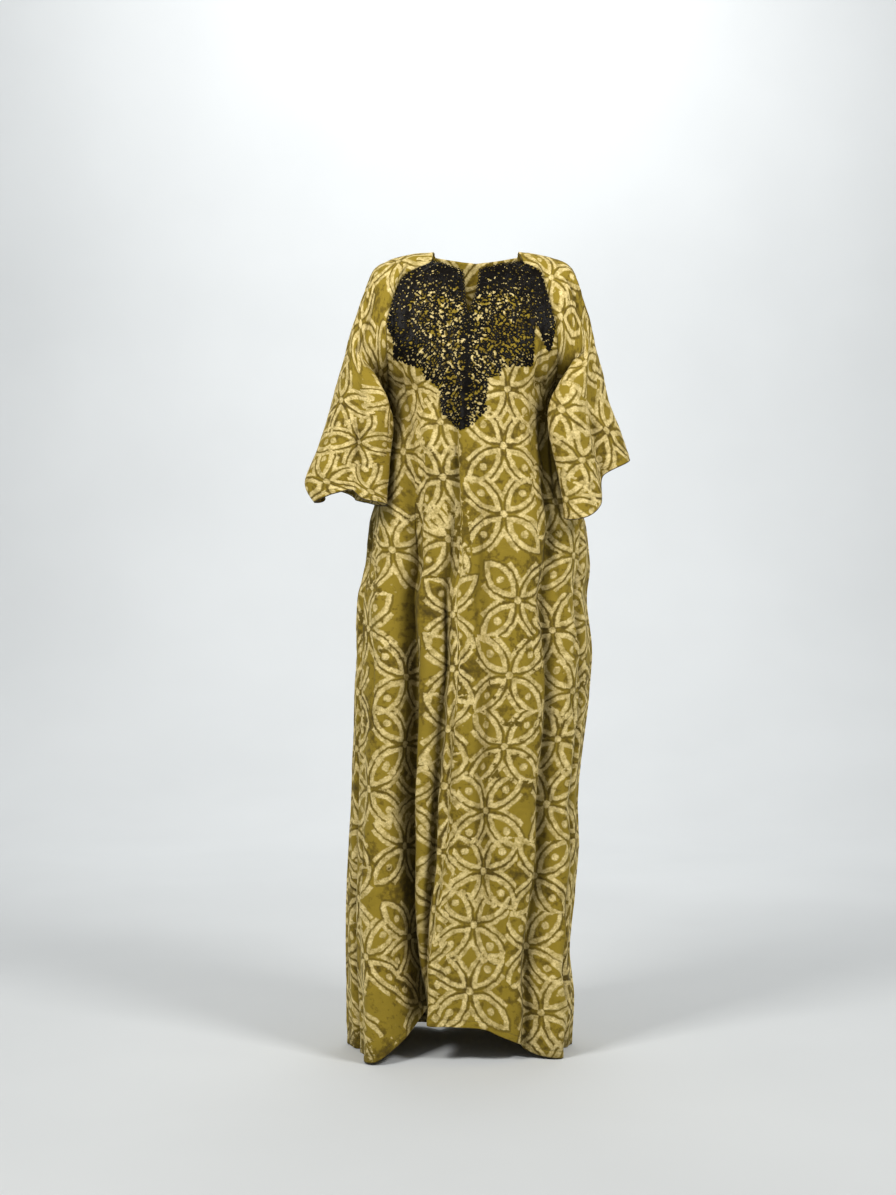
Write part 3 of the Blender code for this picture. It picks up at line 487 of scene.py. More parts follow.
# start along the sleeve, round at the start and at the cuff, height, half width in rounds
sleeveFolds = {
    -1: ((0.9, 0.13, 0.12, 0.026, 0.06), (0.7, 0.28, 0.25, -0.014, 0.05),
         (1.2, 0.40, 0.39, 0.010, 0.05), (1.6, 0.49, 0.48, -0.022, 0.07),
         (1.0, 0.60, 0.62, -0.014, 0.05), (1.1, 0.74, 0.74, 0.010, 0.05),
         (1.2, 0.87, 0.87, -0.010, 0.04)),
    1: ((0.7, 0.19, 0.16, 0.038, 0.055), (0.7, 0.36, 0.30, -0.018, 0.045),
        (1.2, 0.44, 0.42, 0.008, 0.05), (1.0, 0.62, 0.60, -0.012, 0.05),
        (1.1, 0.72, 0.72, 0.010, 0.05), (1.2, 0.86, 0.86, -0.012, 0.04)),
}
# creases as listed: round and along at both ends, height and half width in metres
sleeveCreases = {
    -1: ((0.10, 0.75, 0.16, 1.95, -0.0060, 0.007), (0.16, 0.90, 0.22, 1.80, 0.0051, 0.010),
         (0.24, 0.55, 0.30, 1.30, -0.0045, 0.008), (0.33, 0.45, 0.36, 1.20, 0.0039, 0.010),
         (0.41, 0.60, 0.46, 1.60, -0.0039, 0.008), (0.05, 1.10, 0.07, 1.90, 0.0045, 0.008),
         (0.30, 1.45, 0.20, 1.95, -0.0054, 0.008), (0.36, 1.50, 0.32, 1.98, 0.0054, 0.009),
         (0.52, 0.70, 0.56, 1.90, 0.0045, 0.010), (0.66, 0.60, 0.68, 1.70, -0.0051, 0.010),
         (0.80, 0.70, 0.82, 1.90, 0.0048, 0.010), (0.93, 0.90, 0.92, 1.80, -0.0045, 0.008)),
    1: ((0.10, 0.75, 0.12, 1.90, -0.0060, 0.007), (0.20, 0.70, 0.24, 1.75, 0.0054, 0.009),
        (0.28, 0.35, 0.34, 1.10, -0.0051, 0.006), (0.36, 0.40, 0.42, 1.30, 0.0042, 0.010),
        (0.44, 0.90, 0.47, 1.85, -0.0042, 0.008), (0.05, 1.10, 0.06, 1.95, 0.0048, 0.008),
        (0.22, 1.55, 0.16, 1.98, -0.0060, 0.008), (0.30, 1.35, 0.37, 1.92, 0.0051, 0.008),
        (0.50, 0.60, 0.53, 1.80, 0.0039, 0.010), (0.64, 0.70, 0.66, 1.80, -0.0051, 0.010),
        (0.78, 0.60, 0.80, 1.80, 0.0048, 0.011), (0.92, 0.95, 0.93, 1.90, -0.0045, 0.008)),
}


def bezier(a, b, c, d, u):
    return a * (1 - u) ** 3 + 3 * b * u * (1 - u) ** 2 + 3 * c * u**2 * (1 - u) + d * u**3


def sleeveOutward(grid, side):
    return unit(np.cross(np.gradient(grid, axis=0), np.gradient(grid, axis=1)) * side)


def sleevePoints(side):
    # a sleeve as rows of points, with the cloth's flat coordinates
    cut = sleeveCut
    alongs = np.concatenate([np.linspace(0, 1, cut["rowsAbove"] + 1),
                             1 + rowsToHem(cut["rowsBelow"], cut["hemShare"])[1:]])
    row = {name: smoothRead(sleeveRows[:, 0], sleeveRows[:, i], alongs)
           for i, name in enumerate(sleeveNames)}
    ridge = np.stack([row["centre"] + side * row["ridgeOut"],
                      np.full(len(alongs), cut["ridgeY"]), -row["ridgeDrop"]], -1)
    under = np.stack([row["centre"] + side * row["underOut"],
                      np.zeros(len(alongs)), -row["underDrop"]], -1)
    seams = []
    for isFront in (True, False):
        top = body["neckDrops"][0 if isFront else 1]
        drop = top + (body["underarmDrop"] - top) * np.minimum(alongs, 1) ** body["raglanCurve"]
        seams.append(bodyPoint(float(side) if isFront else 2.0 - side, drop, isFront))
    isTube = (alongs > 1)[:, None]
    start, end = np.where(isTube, under, seams[0]), np.where(isTube, under, seams[1])
    swing = np.stack([side * row["swingOut"], -row["swingFront"], row["swingUp"]], -1)
    swingBack = swing * np.array([1, -cut["backFullness"], 1])
    swingBack[:, 0] *= np.where(alongs > 1, cut["backSwingOut"], 1)
    crown = np.stack([np.zeros(len(alongs)), row["crown"], np.zeros(len(alongs))], -1)
    half = np.linspace(0, 1, cut["columns"] // 2 + 1)[None, :, None]
    start, end, ridge, crown, swing, swingBack = (
        v[:, None] for v in (start, end, ridge, crown, swing, swingBack))
    front = bezier(start, start + swing, ridge - crown, ridge, half)
    back = bezier(ridge, ridge + cut["backFullness"] * crown, end + swingBack, end, half)
    grid = np.concatenate([front, back[:, 1:]], axis=1)
    rounds = np.linspace(0, 1, cut["columns"] + 1)
    outward = sleeveOutward(grid, side)
    raised = np.zeros(grid.shape[:2])
    for begin, round0, round1, height, width in sleeveFolds[side]:
        grown = ease(begin, 2, alongs)[:, None]
        raised += grown * height * bell((rounds - round0 - (round1 - round0) * grown) / width)
    girth, unitLength = cut["girth"], cut["unitLength"]
    downSleeve = alongs[:, None]
    around, down = girth * rounds[None], unitLength * downSleeve
    for round0, along0, round1, along1, height, width in sleeveCreases[side]:
        runX, runY = (round1 - round0) * girth, (along1 - along0) * unitLength
        offX, offY = around - round0 * girth, down - along0 * unitLength
        length = runX**2 + runY**2
        t = (offX * runX + offY * runY) / length
        miss = (offX * runY - offY * runX) / np.sqrt(length)
        miss = miss + 0.4 * width * np.sin(t * 6 + round0 * 20)
        raised += height * bell(miss / width) * ease(0, 0.35, t) * ease(1, 0.6, t)
    lap = bellAt(cut["lapAlong"], downSleeve)
    raised += cut["lobe"][side] * bellAt(cut["lobeRound"], rounds) * lap
    raised += softNoise(around, down, 0.028, 5 + side) * 0.0009
    raised += softNoise(around, down, 0.012, 9) * 0.0004
    reach = fromMiddle(grid)
    toSeam = np.minimum(reach - reach[:, :1], reach[:, -1:] - reach)
    toCuff = cut["cuffUnit"] * (2 - downSleeve)
    raised = raised * ease(0, finish["seamFade"], toSeam) + seamRise(toSeam)
    raised += hemRise(toCuff) * ease(0, finish["hemFade"], toSeam)
    grid = grid + outward * raised[..., None]
    dip = smoothRead(cuffLine[:, 0], cuffLine[:, 1 if side < 0 else 2], rounds)
    dip = dip * ease(1, 2, alongs)[:, None]
    inward = cut["inward"] * bellAt(cut["inwardRound"], rounds) * lap
    begin, length = cut["curlAlong"]
    rolled = np.clip((downSleeve - begin) / length, 0, 1) ** 2
    curl = cut["curl"][side] * bellAt(cut["curlRound"], rounds) * rolled
    puff = bellAt(cut["puffRound"], rounds) * bellAt(cut["puffAlong"], downSleeve)
    forward, lower = cut["curlLean"]
    grid[..., 0] += side * (cut["flare"] * dip - inward - curl + cut["puff"][side] * puff)
    grid[..., 1] -= forward * curl
    grid[..., 2] -= dip + lower * curl
    across = fromMiddle(grid)
    length = lengthAlong(grid[:, cut["columns"] // 2])[:, None] + dip
    return grid, np.stack([across, length + np.zeros(across.shape)], -1)


# Flat cloth coordinates of the body panels

flatTable = {"drops": np.linspace(0, 1.47, 120), "half": np.linspace(-1.02, 1.02, 1201)}

# The pressed line left of the middle hides a tuck of cloth: across and down, and how much.
tuck = {"line": ((0.20, -0.024), (0.66, -0.029), (0.96, -0.028), (1.10, -0.034), (1.38, -0.066)),
        "hidden": 0.028, "width": 0.0015}


def flatAcross(place, drop, isFront):
    # distance along the cloth from the panel's middle, at that level
    key = "front" if isFront else "back"
    drops, half = flatTable["drops"], flatTable["half"]
    if key not in flatTable:
        places = half if isFront else 2 + half
        flatTable[key] = fromMiddle(bodyPoint(places[None], drops[:, None], isFront))
    table = flatTable[key]
    i = np.clip((drop - drops[0]) / (drops[1] - drops[0]), 0, len(drops) - 1.001)
    j = (place if isFront else place - 2)
    j = np.clip((j - half[0]) / (half[1] - half[0]), 0, len(half) - 1.001)
    i0, j0 = i.astype(int), j.astype(int)
    u, v = i - i0, j - j0
    top = table[i0, j0] * (1 - v) + table[i0, j0 + 1] * v
    low = table[i0 + 1, j0] * (1 - v) + table[i0 + 1, j0 + 1] * v
    across = (top * (1 - u) + low * u) * (1 if isFront else -1)
    if isFront:
        line = smoothRead(*zip(*tuck["line"]), drop)
        past = ease(tuck["width"], -tuck["width"], across - line) * ease(0.20, 0.34, drop)
        across = across - tuck["hidden"] * past
    return across


# The stamped print: which stamp of each layer a face takes

batikPrint = {
    "layers": 8,
    "pitch": (0.128, 0.131),       # of the wooden stamp, across and down
    "jitter": 0.016,               # it is put down by hand
    "turn": radians(5),
    "faintShare": 0.07,            # prints where the wax ran thin
    "apart": 0.095,                # no scattered print is nearer to another than this
    "sameLayer": 0.122,            # how far apart two prints of one layer are
    "tries": 900,                  # at filling what the grid left open
    "faint": (0.4, 0.65),          # strength of a faint print, and of one that fills a gap
    "filling": (0.8, 1.0),
    "margin": 0.06,                # prints go on past the cut edge this far
    "overlap": (0.006, 0.020),     # how far a print goes on past the middle to its neighbour
}


def scatterStamps(cloth, taken, seed, slant=0):
    # fills the cloth with prints on an uneven grid, round those already there
    rule = batikPrint
    dice = np.random.default_rng(seed)
    low, high = cloth.min(0) - rule["margin"], cloth.max(0) + rule["margin"]
    stamps = list(taken)
    columns = int((high[0] - low[0]) / rule["pitch"][0]) + 2
    rows = int((high[1] - low[1]) / rule["pitch"][1]) + 2
    for i in range(columns):
        slip = dice.uniform(0, rule["pitch"][1])
        for j in range(-1, rows):
            u = low[0] + i * rule["pitch"][0] + dice.uniform(-1, 1) * rule["jitter"] * 0.5
            v = low[1] + j * rule["pitch"][1] + slip + dice.uniform(-1, 1) * rule["jitter"]
            turn = slant + dice.uniform(-1, 1) * rule["turn"]
            strength = dice.uniform(*rule["faint"]) if dice.random() < rule["faintShare"] else 1.0
            if all(np.hypot(u - s[0], v - s[1]) > rule["apart"] for s in taken):
                stamps.append((u, v, turn, strength))
    for _ in range(rule["tries"]):
        u, v = dice.uniform(low, high)
        if all(np.hypot(u - s[0], v - s[1]) > rule["apart"] for s in stamps):
            turn = slant + dice.uniform(-1, 1) * rule["turn"]
            stamps.append((u, v, turn, dice.uniform(*rule["filling"])))
    return stamps


def layerStamps(stamps):
    # prints of one layer are far enough apart for a face to need only the nearest of them
    layers = [[] for _ in range(batikPrint["layers"])]
    apart = batikPrint["sameLayer"]
    leftOut = 0
    for stamp in stamps:
        if stamp[3] == 0:
            continue
        for layer in layers:
            if all(max(abs(stamp[0] - s[0]), abs(stamp[1] - s[1])) > apart for s in layer):
                layer.append(stamp)
                break
        else:
            leftOut += 1
    print(f"prints: {sum(len(layer) for layer in layers)}, left out: {leftOut}")
    return layers


def stampCoordinates(corners, stamps):
    # for each corner of each face, its place from the middle of the nearest print of each layer,
    # and how strong that print still is there, next to its neighbours
    centres = corners.mean(1)
    shown = np.array([s[:2] for s in stamps if s[3] > 0])
    closest = np.full(corners.shape[:2], 9.0)
    for spot in shown:
        closest = np.minimum(closest, np.linalg.norm(corners - spot, axis=-1))
    near, far = batikPrint["overlap"]
    found = []
    for layer in layerStamps(stamps):
        values = np.full(corners.shape[:2] + (3,), 0.5)
        if layer:
            spots = np.array(layer)
            away = np.abs(centres[:, None] - spots[None, :, :2]).max(-1)
            nearest = spots[away.argmin(1)]
            off = corners - nearest[:, None, :2]
            c, s = np.cos(nearest[:, 2])[:, None], np.sin(nearest[:, 2])[:, None]
            values[..., 0] = off[..., 0] * c + off[..., 1] * s
            values[..., 1] = off[..., 1] * c - off[..., 0] * s
            past = np.linalg.norm(off, axis=-1) - closest
            values[..., 2] = nearest[:, None, 3] * ease(far, near, past)
        found.append(values)
    return found


# Making a piece of cloth

clothShell = {"thickness": 0.0008, "weld": 1e-5}


def quadsOf(rows, columns, start, isTurned):
    number = start + np.arange(rows * columns).reshape(rows, columns)
    quads = np.stack([number[:-1, :-1], number[1:, :-1], number[1:, 1:], number[:-1, 1:]], -1)
    quads = quads.reshape(-1, 4)
    return quads[:, ::-1] if isTurned else quads


def newObject(name, mesh, material):
    thing = bpy.data.objects.new(name, mesh)
    scene.collection.objects.link(thing)
    mesh.materials.append(material)
    mesh.shade_smooth()
    return thing


def allFlat(halves):
    return np.concatenate([c.reshape(-1, 2) for _, c in halves])


def makeCloth(name, halves, isTurned, stamps, material):
    # halves are grids of points with their flat cloth coordinates, welded where they meet
    points = np.concatenate([p.reshape(-1, 3) for p, _ in halves])
    cloth = allFlat(halves)
    quads, start = [], 0
    for p, _ in halves:
        quads.append(quadsOf(p.shape[0], p.shape[1], start, isTurned))
        start += p.shape[0] * p.shape[1]
    quads = np.concatenate(quads)
    _, first, number = np.unique((points / clothShell["weld"]).round(), axis=0,
                                 return_index=True, return_inverse=True)
    number = number.ravel()
    mesh = bpy.data.meshes.new(name)
    mesh.from_pydata(points[first].tolist(), [], number[quads].tolist())
    corners = cloth[quads]
    flat = mesh.attributes.new("cloth", "FLOAT_VECTOR", "CORNER")
    flat.data.foreach_set("vector", np.concatenate(
        [corners, np.zeros(corners.shape[:2] + (1,))], -1).astype(np.float32).ravel())
    for i, values in enumerate(stampCoordinates(corners, stamps)):
        layer = mesh.attributes.new(f"stamp{i}", "FLOAT_VECTOR", "CORNER")
        layer.data.foreach_set("vector", values.astype(np.float32).ravel())
    thing = newObject(name, mesh, material)
    shell = thing.modifiers.new("cloth thickness", "SOLIDIFY")
    shell.thickness = clothShell["thickness"]
    shell.offset = 0
    sides = points[first][number[quads]]
    doubled = np.cross(sides[:, 2] - sides[:, 0], sides[:, 3] - sides[:, 1])
    area = np.linalg.norm(doubled, axis=1).sum() / 2
    width, length = cloth.max(0) - cloth.min(0)
    print(f"{name}: {len(quads)} faces, {area:.3f} square metres, {width:.3f} by {length:.3f} flat")
    return thing


# Shader nodes

def addNode(tree, kind, feeds, output=0, **settings):
    # feeds go to the inputs of these names or numbers: a socket is linked, a value is set
    node = tree.nodes.new("ShaderNode" + kind)
    for key, value in settings.items():
        setattr(node, key, value)
    for key, feed in feeds.items():
        if isinstance(feed, bpy.types.NodeSocket):
            tree.links.new(feed, node.inputs[key])
        else:
            node.inputs[key].default_value = feed
    return None if output is None else node.outputs[output]


def maths(tree, operation, *values):
    return addNode(tree, "Math", dict(enumerate(values)), operation=operation)


def vectors(tree, operation, *values, output=0):
    return addNode(tree, "VectorMath", dict(enumerate(values)), output, operation=operation)


def mapRange(tree, value, low, high, toLow=0.0, toHigh=1.0):
    return addNode(tree, "MapRange", {"Value": value, "From Min": low, "From Max": high,
                                      "To Min": toLow, "To Max": toHigh})


def addRamp(tree, feed, *stops):
    # stops are places from 0 to 1, each with its hex colour
    ramp = addNode(tree, "ValToRGB", {"Fac": feed})
    elements = ramp.node.color_ramp.elements
    for element, (place, hexColour) in zip(elements, (stops[0], stops[-1])):
        element.position, element.color = place, linear(hexColour)
    for place, hexColour in stops[1:-1]:
        elements.new(place).color = linear(hexColour)
    return ramp


def addSurface(tree, looks):
    shader = addNode(tree, "BsdfPrincipled", looks)
    addNode(tree, "OutputMaterial", {"Surface": shader}, output=None)


def newMaterial(name):
    material = bpy.data.materials.new(name)
    material.use_nodes = True
    material.node_tree.nodes.clear()
    return material, material.node_tree


# The wax print of one stamp: four petals set crosswise, each with a dot, a dot in the middle
# and chevrons between the petals. Every edge is an arc, so the sizes are those of circles.
motif = {
    "petalCircle": ((0.0525, -0.0406, 0), 0.0606),
    "petalBand": 0.0080,
    "petalDot": ((0.0525, 0, 0), 0.0063),
    "centreDot": 0.0060,
    "chevronCircle": ((0.058, -0.0856, 0), 0.1101),
    "chevronBand": 0.0066,
    "chevronEnd": 0.066,
    "darkLine": 0.0045,
    "edge": 0.0011,       # softness of the wax's edge in the cloth
}


def makeStampGroup():
    tree = bpy.data.node_groups.new("batik stamp", "ShaderNodeTree")
    for name, kind in (("Place", "NodeSocketVector"), ("Wobble", "NodeSocketVector"),
                       ("Spread", "NodeSocketFloat"), ("Worn", "NodeSocketFloat")):
        tree.interface.new_socket(name, in_out="INPUT", socket_type=kind)
    for name in ("Wax", "Line"):
        tree.interface.new_socket(name, in_out="OUTPUT", socket_type="NodeSocketFloat")
    given = tree.nodes.new("NodeGroupInput")
    place, wobble, spread, worn = given.outputs[:4]
    flat = vectors(tree, "MULTIPLY", place, (1, 1, 0))
    flat = vectors(tree, "ADD", flat, wobble)
    quarter = vectors(tree, "ABSOLUTE", flat)
    turned = addNode(tree, "VectorRotate", {"Vector": quarter, "Angle": -pi / 4},
                     rotation_type="Z_AXIS")
    half = vectors(tree, "ABSOLUTE", turned)
    away = {}
    for name in ("petalCircle", "petalDot", "chevronCircle"):
        centre, radius = motif[name]
        reach = vectors(tree, "DISTANCE", half, centre, output="Value")
        away[name] = maths(tree, "SUBTRACT", reach, radius)
    reach = vectors(tree, "LENGTH", flat, output="Value")
    centreDot = maths(tree, "SUBTRACT", reach, motif["centreDot"])
    bands = {}
    for name, circle, width, shift in (
            ("petal", "petalCircle", motif["petalBand"], motif["petalBand"] / 2),
            ("chevron", "chevronCircle", motif["chevronBand"], -motif["chevronBand"] / 2),
            ("line", "petalCircle", motif["darkLine"], -motif["darkLine"] / 2)):
        moved = maths(tree, "ADD", away[circle], shift)
        size = maths(tree, "ABSOLUTE", moved)
        bands[name] = maths(tree, "SUBTRACT", size, width / 2)
    alongPetal = addNode(tree, "SeparateXYZ", {0: half})
    pastEnd = maths(tree, "SUBTRACT", alongPetal, motif["chevronEnd"])
    chevron = maths(tree, "MAXIMUM", bands["chevron"], pastEnd)
    wax = maths(tree, "MINIMUM", bands["petal"], away["petalDot"])
    wax = maths(tree, "MINIMUM", wax, centreDot)
    wax = maths(tree, "MINIMUM", wax, chevron)
    wax = maths(tree, "SUBTRACT", wax, spread)
    covered = mapRange(tree, wax, motif["edge"], -motif["edge"])
    lined = mapRange(tree, bands["line"], motif["edge"], -motif["edge"])
    # a print where the wax ran thin is left out in patches
    strength = addNode(tree, "SeparateXYZ", {0: place}, output=2)
    thin = maths(tree, "SUBTRACT", 1.0, strength)
    above = maths(tree, "SUBTRACT", worn, thin)
    kept = mapRange(tree, above, -0.05, 0.05)
    covered = maths(tree, "MULTIPLY", covered, kept)
    lined = maths(tree, "MULTIPLY", lined, kept)
    taken = tree.nodes.new("NodeGroupOutput")
    tree.links.new(covered, taken.inputs["Wax"])
    tree.links.new(lined, taken.inputs["Line"])
    return tree


def makeBatik():
    # hand-stamped cotton: cream where the wax kept the dye out, olive round it, with the dye
    # gathered dark along the petals, a dry slubbed weave and a faint sheen on the raised folds
    material, tree = newMaterial("wax-resist batik cotton")
    stamp = makeStampGroup()
    cloth = addNode(tree, "Attribute", {}, output="Vector", attribute_name="cloth")

    # the edges wander as wax does, about 10 mm apart, and finer
    wobble = None
    for scale, size in ((95, 0.0052), (330, 0.0026)):
        noise = addNode(tree, "TexNoise", {"Vector": cloth, "Scale": scale, "Detail": 1.0},
                        output="Color")
        middle = vectors(tree, "SUBTRACT", noise, (0.5, 0.5, 0.5))
        shift = vectors(tree, "MULTIPLY", middle, (size, size, 0))
        wobble = shift if wobble is None else vectors(tree, "ADD", wobble, shift)
    broad = addNode(tree, "TexNoise", {"Vector": cloth, "Scale": 11, "Detail": 3.0, "Roughness": 0.6})
    fine = addNode(tree, "TexNoise", {"Vector": cloth, "Scale": 75, "Detail": 4.0, "Roughness": 0.65})
    speck = addNode(tree, "TexNoise", {"Vector": cloth, "Scale": 240, "Detail": 3.0, "Roughness": 0.7})
    both = maths(tree, "ADD", broad, fine)
    worn = mapRange(tree, both, 0.72, 1.28)
    spread = mapRange(tree, broad, 0.55, 0.72, 0.0, 0.0020)
    wax, line = None, None
    for i in range(batikPrint["layers"]):
        place = addNode(tree, "Attribute", {}, output="Vector", attribute_name=f"stamp{i}")
        printed = addNode(tree, "Group", {}, node_tree=stamp)
        for key, feed in (("Place", place), ("Wobble", wobble), ("Spread", spread), ("Worn", worn)):
            tree.links.new(feed, printed.node.inputs[key])
        if wax is None:
            wax, line = printed, printed.node.outputs["Line"]
        else:
            wax = maths(tree, "MAXIMUM", wax, printed)
            line = maths(tree, "MAXIMUM", line, printed.node.outputs["Line"])

    # wax splashes beside the prints, and dye that crept through cracks in the wax
    splash = addNode(tree, "TexVoronoi", {"Vector": cloth, "Scale": 62}, output="Distance")
    splash = mapRange(tree, splash, 0.15, 0.10)
    here = mapRange(tree, broad, 0.56, 0.62)
    splash = maths(tree, "MULTIPLY", splash, here)
    wax = maths(tree, "MAXIMUM", wax, splash)
    crack = mapRange(tree, speck, 0.36, 0.52, 0.45, 1.0)
    wax = maths(tree, "MULTIPLY", wax, crack)

    ground = addRamp(tree, both, (0.70, "#50410B"), (0.89, "#725E14"), (1.0, "#917B22"))
    cream = addRamp(tree, fine, (0.36, "#AF9A58"), (0.60, "#EDD796"))
    dark = maths(tree, "MULTIPLY", line, 0.5)
    colour = addNode(tree, "Mix", {0: dark, 6: ground, 7: linear("#4A3A0E")}, output=2,
                     data_type="RGBA")
    colour = addNode(tree, "Mix", {0: wax, 6: colour, 7: cream}, output=2, data_type="RGBA")

    # painted shade: the colour is made darker down in the folds, where little light gets, by the
    # occlusion of the shape round each point
    paintedFoldShade = addNode(tree, "AmbientOcclusion", {"Distance": 0.05}, output="AO", samples=8)
    paintedFoldShade = mapRange(tree, paintedFoldShade, 0.35, 0.97, 0.42, 1.05)
    colour = vectors(tree, "MULTIPLY", colour, paintedFoldShade)

    # threads 0.3 mm apart, drawn four times as coarse so that they don't flicker from here
    weave = None
    for direction in ("X", "Y"):
        threads = addNode(tree, "TexWave", {"Vector": cloth, "Scale": 125, "Distortion": 1.2,
                                            "Detail": 1.0}, bands_direction=direction)
        weave = threads if weave is None else maths(tree, "ADD", weave, threads)
    bump = addNode(tree, "Bump", {"Height": weave, "Strength": 0.12, "Distance": 0.0003})
    crumple = addNode(tree, "TexNoise", {"Vector": cloth, "Scale": 42, "Detail": 5.0, "Roughness": 0.6,
                                         "Distortion": 0.6})
    bump = addNode(tree, "Bump", {"Height": crumple, "Strength": 0.55, "Distance": 0.0035,
                                  "Normal": bump})
    addSurface(tree, {
        "Base Color": colour, "Roughness": 0.82, "Specular IOR Level": 0.25, "Sheen Weight": 0.12,
        "Sheen Roughness": 0.45, "Sheen Tint": linear("#E8DCA8"), "Normal": bump})
    return material


def makeCord():
    # corded rayon lace: near black, with the soft shine of twisted satin thread
    material, tree = newMaterial("black corded lace")
    where = addNode(tree, "TexCoord", {}, output="Object")
    twist = addNode(tree, "TexWave", {"Vector": where, "Scale": 260, "Distortion": 3.0, "Detail": 2.0},
                    bands_direction="DIAGONAL")
    noise = addNode(tree, "TexNoise", {"Vector": where, "Scale": 60, "Detail": 3.0})
    colour = addRamp(tree, noise, (0.35, "#070503"), (0.70, "#130F0A"))
    bump = addNode(tree, "Bump", {"Height": twist, "Strength": 0.35, "Distance": 0.0003})
    addSurface(tree, {
        "Base Color": colour, "Roughness": 0.42, "Specular IOR Level": 0.09, "Normal": bump})
    return material


def makeThread(name, dark, light):
    # sewing thread and overlocking, matt, with a painted highlight: a little lighter on top of each
    # twist
    material, tree = newMaterial(name)
    where = addNode(tree, "TexCoord", {}, output="Object")
    noise = addNode(tree, "TexNoise", {"Vector": where, "Scale": 420, "Detail": 2.0})
    # painted highlight: the colour follows the bump's height, lighter where the thread stands higher
    colour = addRamp(tree, noise, (0.35, dark), (0.65, light))
    bump = addNode(tree, "Bump", {"Height": noise, "Strength": 0.3, "Distance": 0.0003})
    addSurface(tree, {"Base Color": colour, "Roughness": 0.75, "Normal": bump})
    return material


def makeBackdrop():
    # matt studio paper, faintly mottled
    material, tree = newMaterial("pale studio paper")
    where = addNode(tree, "TexCoord", {}, output="Object")
    noise = addNode(tree, "TexNoise", {"Vector": where, "Scale": 1.3, "Detail": 3.0})
    colour = addRamp(tree, noise, (0.3, "#D7DADB"), (0.7, "#DCDFE0"))
    addSurface(tree, {"Base Color": colour, "Roughness": 0.9})
    return material


batik = makeBatik()
blackCord = makeCord()
oliveThread = makeThread("olive sewing thread", "#5B4D1A", "#8B7B38")
brownOverlock = makeThread("dark overlocked edge", "#2B2214", "#4B3C20")
print("materials made")


# Front and back panels. Prints that the photograph shows are charted one by one: how far across
# the flat cloth and down it, their turn, and the share of wax that took, 0 for a place that was
# left plain. The rest of the cloth is filled with scattered ones.
frontPrints = (
    (0.064, 0.264, 0.00, 1), (0.056, 0.366, 0.02, 1), (0.047, 0.486, 0.00, 1),
    (0.084, 0.639, 0.00, 1), (0.069, 0.772, 0.03, 0.75), (0.070, 0.898, 0.00, 0.7),
    (0.044, 1.013, -0.04, 1), (0.193, 1.005, 0.00, 1), (0.038, 1.121, 0.00, 1),
    (0.169, 1.135, 0.05, 1), (0.024, 1.214, 0.06, 1), (0.154, 1.260, 0.00, 1),
    (0.017, 1.331, 0.00, 1), (-0.087, 0.323, 0.00, 1), (-0.091, 0.421, 0.03, 1),
    (-0.094, 0.530, 0.00, 1), (-0.078, 0.519, 0.10, 0.55), (-0.066, 0.664, 0.00, 1),
    (-0.068, 0.759, -0.05, 1), (-0.069, 0.867, 0.00, 1), (-0.067, 0.968, 0.04, 1),
    (-0.075, 1.083, 0.00, 1), (-0.078, 1.185, -0.06, 1), (-0.130, 0.254, 0.00, 1),
    (-0.256, 0.463, 0.00, 1), (-0.231, 0.549, 0.05, 0.8), (-0.304, 0.690, 0.00, 0.7),
    (-0.371, 0.807, 0.00, 1), (-0.376, 0.911, 0.04, 0.9), (-0.378, 1.054, 0.00, 1),
    (-0.373, 1.178, -0.03, 1), (-0.396, 1.354, 0.00, 0.85), (-0.222, 0.777, 0.00, 0.9),
    (-0.225, 0.897, 0.03, 1), (-0.220, 1.244, 0.00, 1), (-0.233, 1.080, 0.06, 0.9),
    (0.223, 0.802, 0.00, 1), (0.203, 0.888, 0.05, 0.9), (-0.250, 0.665, 0.00, 0),
    (0.110, 0.594, 0.00, 0), (0.113, 0.834, 0.00, 0),
)
panels = {
    "front": {"yokeRows": 52, "skirtRows": 180, "columns": 200, "prints": frontPrints, "seed": 11},
    "back": {"yokeRows": 52, "skirtRows": 150, "columns": 180, "prints": (), "seed": 12},
}


def panelHalves(panel, isFront):
    halves = []
    for place, drop in panelPlaces(isFront, panel["yokeRows"], panel["skirtRows"], panel["columns"]):
        points, _ = clothPoint(place, drop, isFront)
        halves.append((points, np.stack([flatAcross(place, drop, isFront), drop], -1)))
    return halves


panelCloths = {}
for name, panel in panels.items():
    halves = panelHalves(panel, name == "front")
    stamps = scatterStamps(allFlat(halves), panel["prints"], panel["seed"])
    panelCloths[name] = makeCloth(f"{name}Cloth", halves, False, stamps, batik)


# Sleeves
sleevePrints = {
    -1: ((-0.194, 0.193, 1.10, 1.0), (-0.162, 0.443, 1.10, 1.0), (-0.045, 0.061, 0.90, 1.0),
         (-0.090, 0.373, 1.10, 1.0), (-0.128, 0.551, 1.15, 1.0), (-0.216, 0.553, 1.05, 1.0),
         (-0.088, 0.195, 1.10, 1.0), (-0.200, 0.315, 1.12, 1.0), (-0.040, 0.480, 1.08, 1.0)),
    1: ((-0.100, 0.381, -0.15, 1.0), (-0.087, 0.063, 0.20, 1.0), (-0.156, 0.102, 0.17, 1.0),
        (-0.196, 0.322, -0.26, 1.0), (-0.201, 0.412, -0.15, 0.9), (-0.262, 0.478, -0.10, 1.0),
        (-0.119, 0.248, -0.10, 0.9), (-0.030, 0.300, -0.12, 1.0), (-0.160, 0.495, -0.15, 1.0)),
}
sleeveSlants = {-1: 1.10, 1: -0.12}
sleeveCloths, sleeveGrids = {}, {}
for side, name in ((-1, "rightSleeveCloth"), (1, "leftSleeveCloth")):
    grid, flat = sleevePoints(side)
    sleeveGrids[side] = grid
    stamps = scatterStamps(flat.reshape(-1, 2), sleevePrints[side], 20 + side, sleeveSlants[side])
    sleeveCloths[side] = makeCloth(name, [(grid, flat)], side < 0, stamps, batik)
print("cloth made")


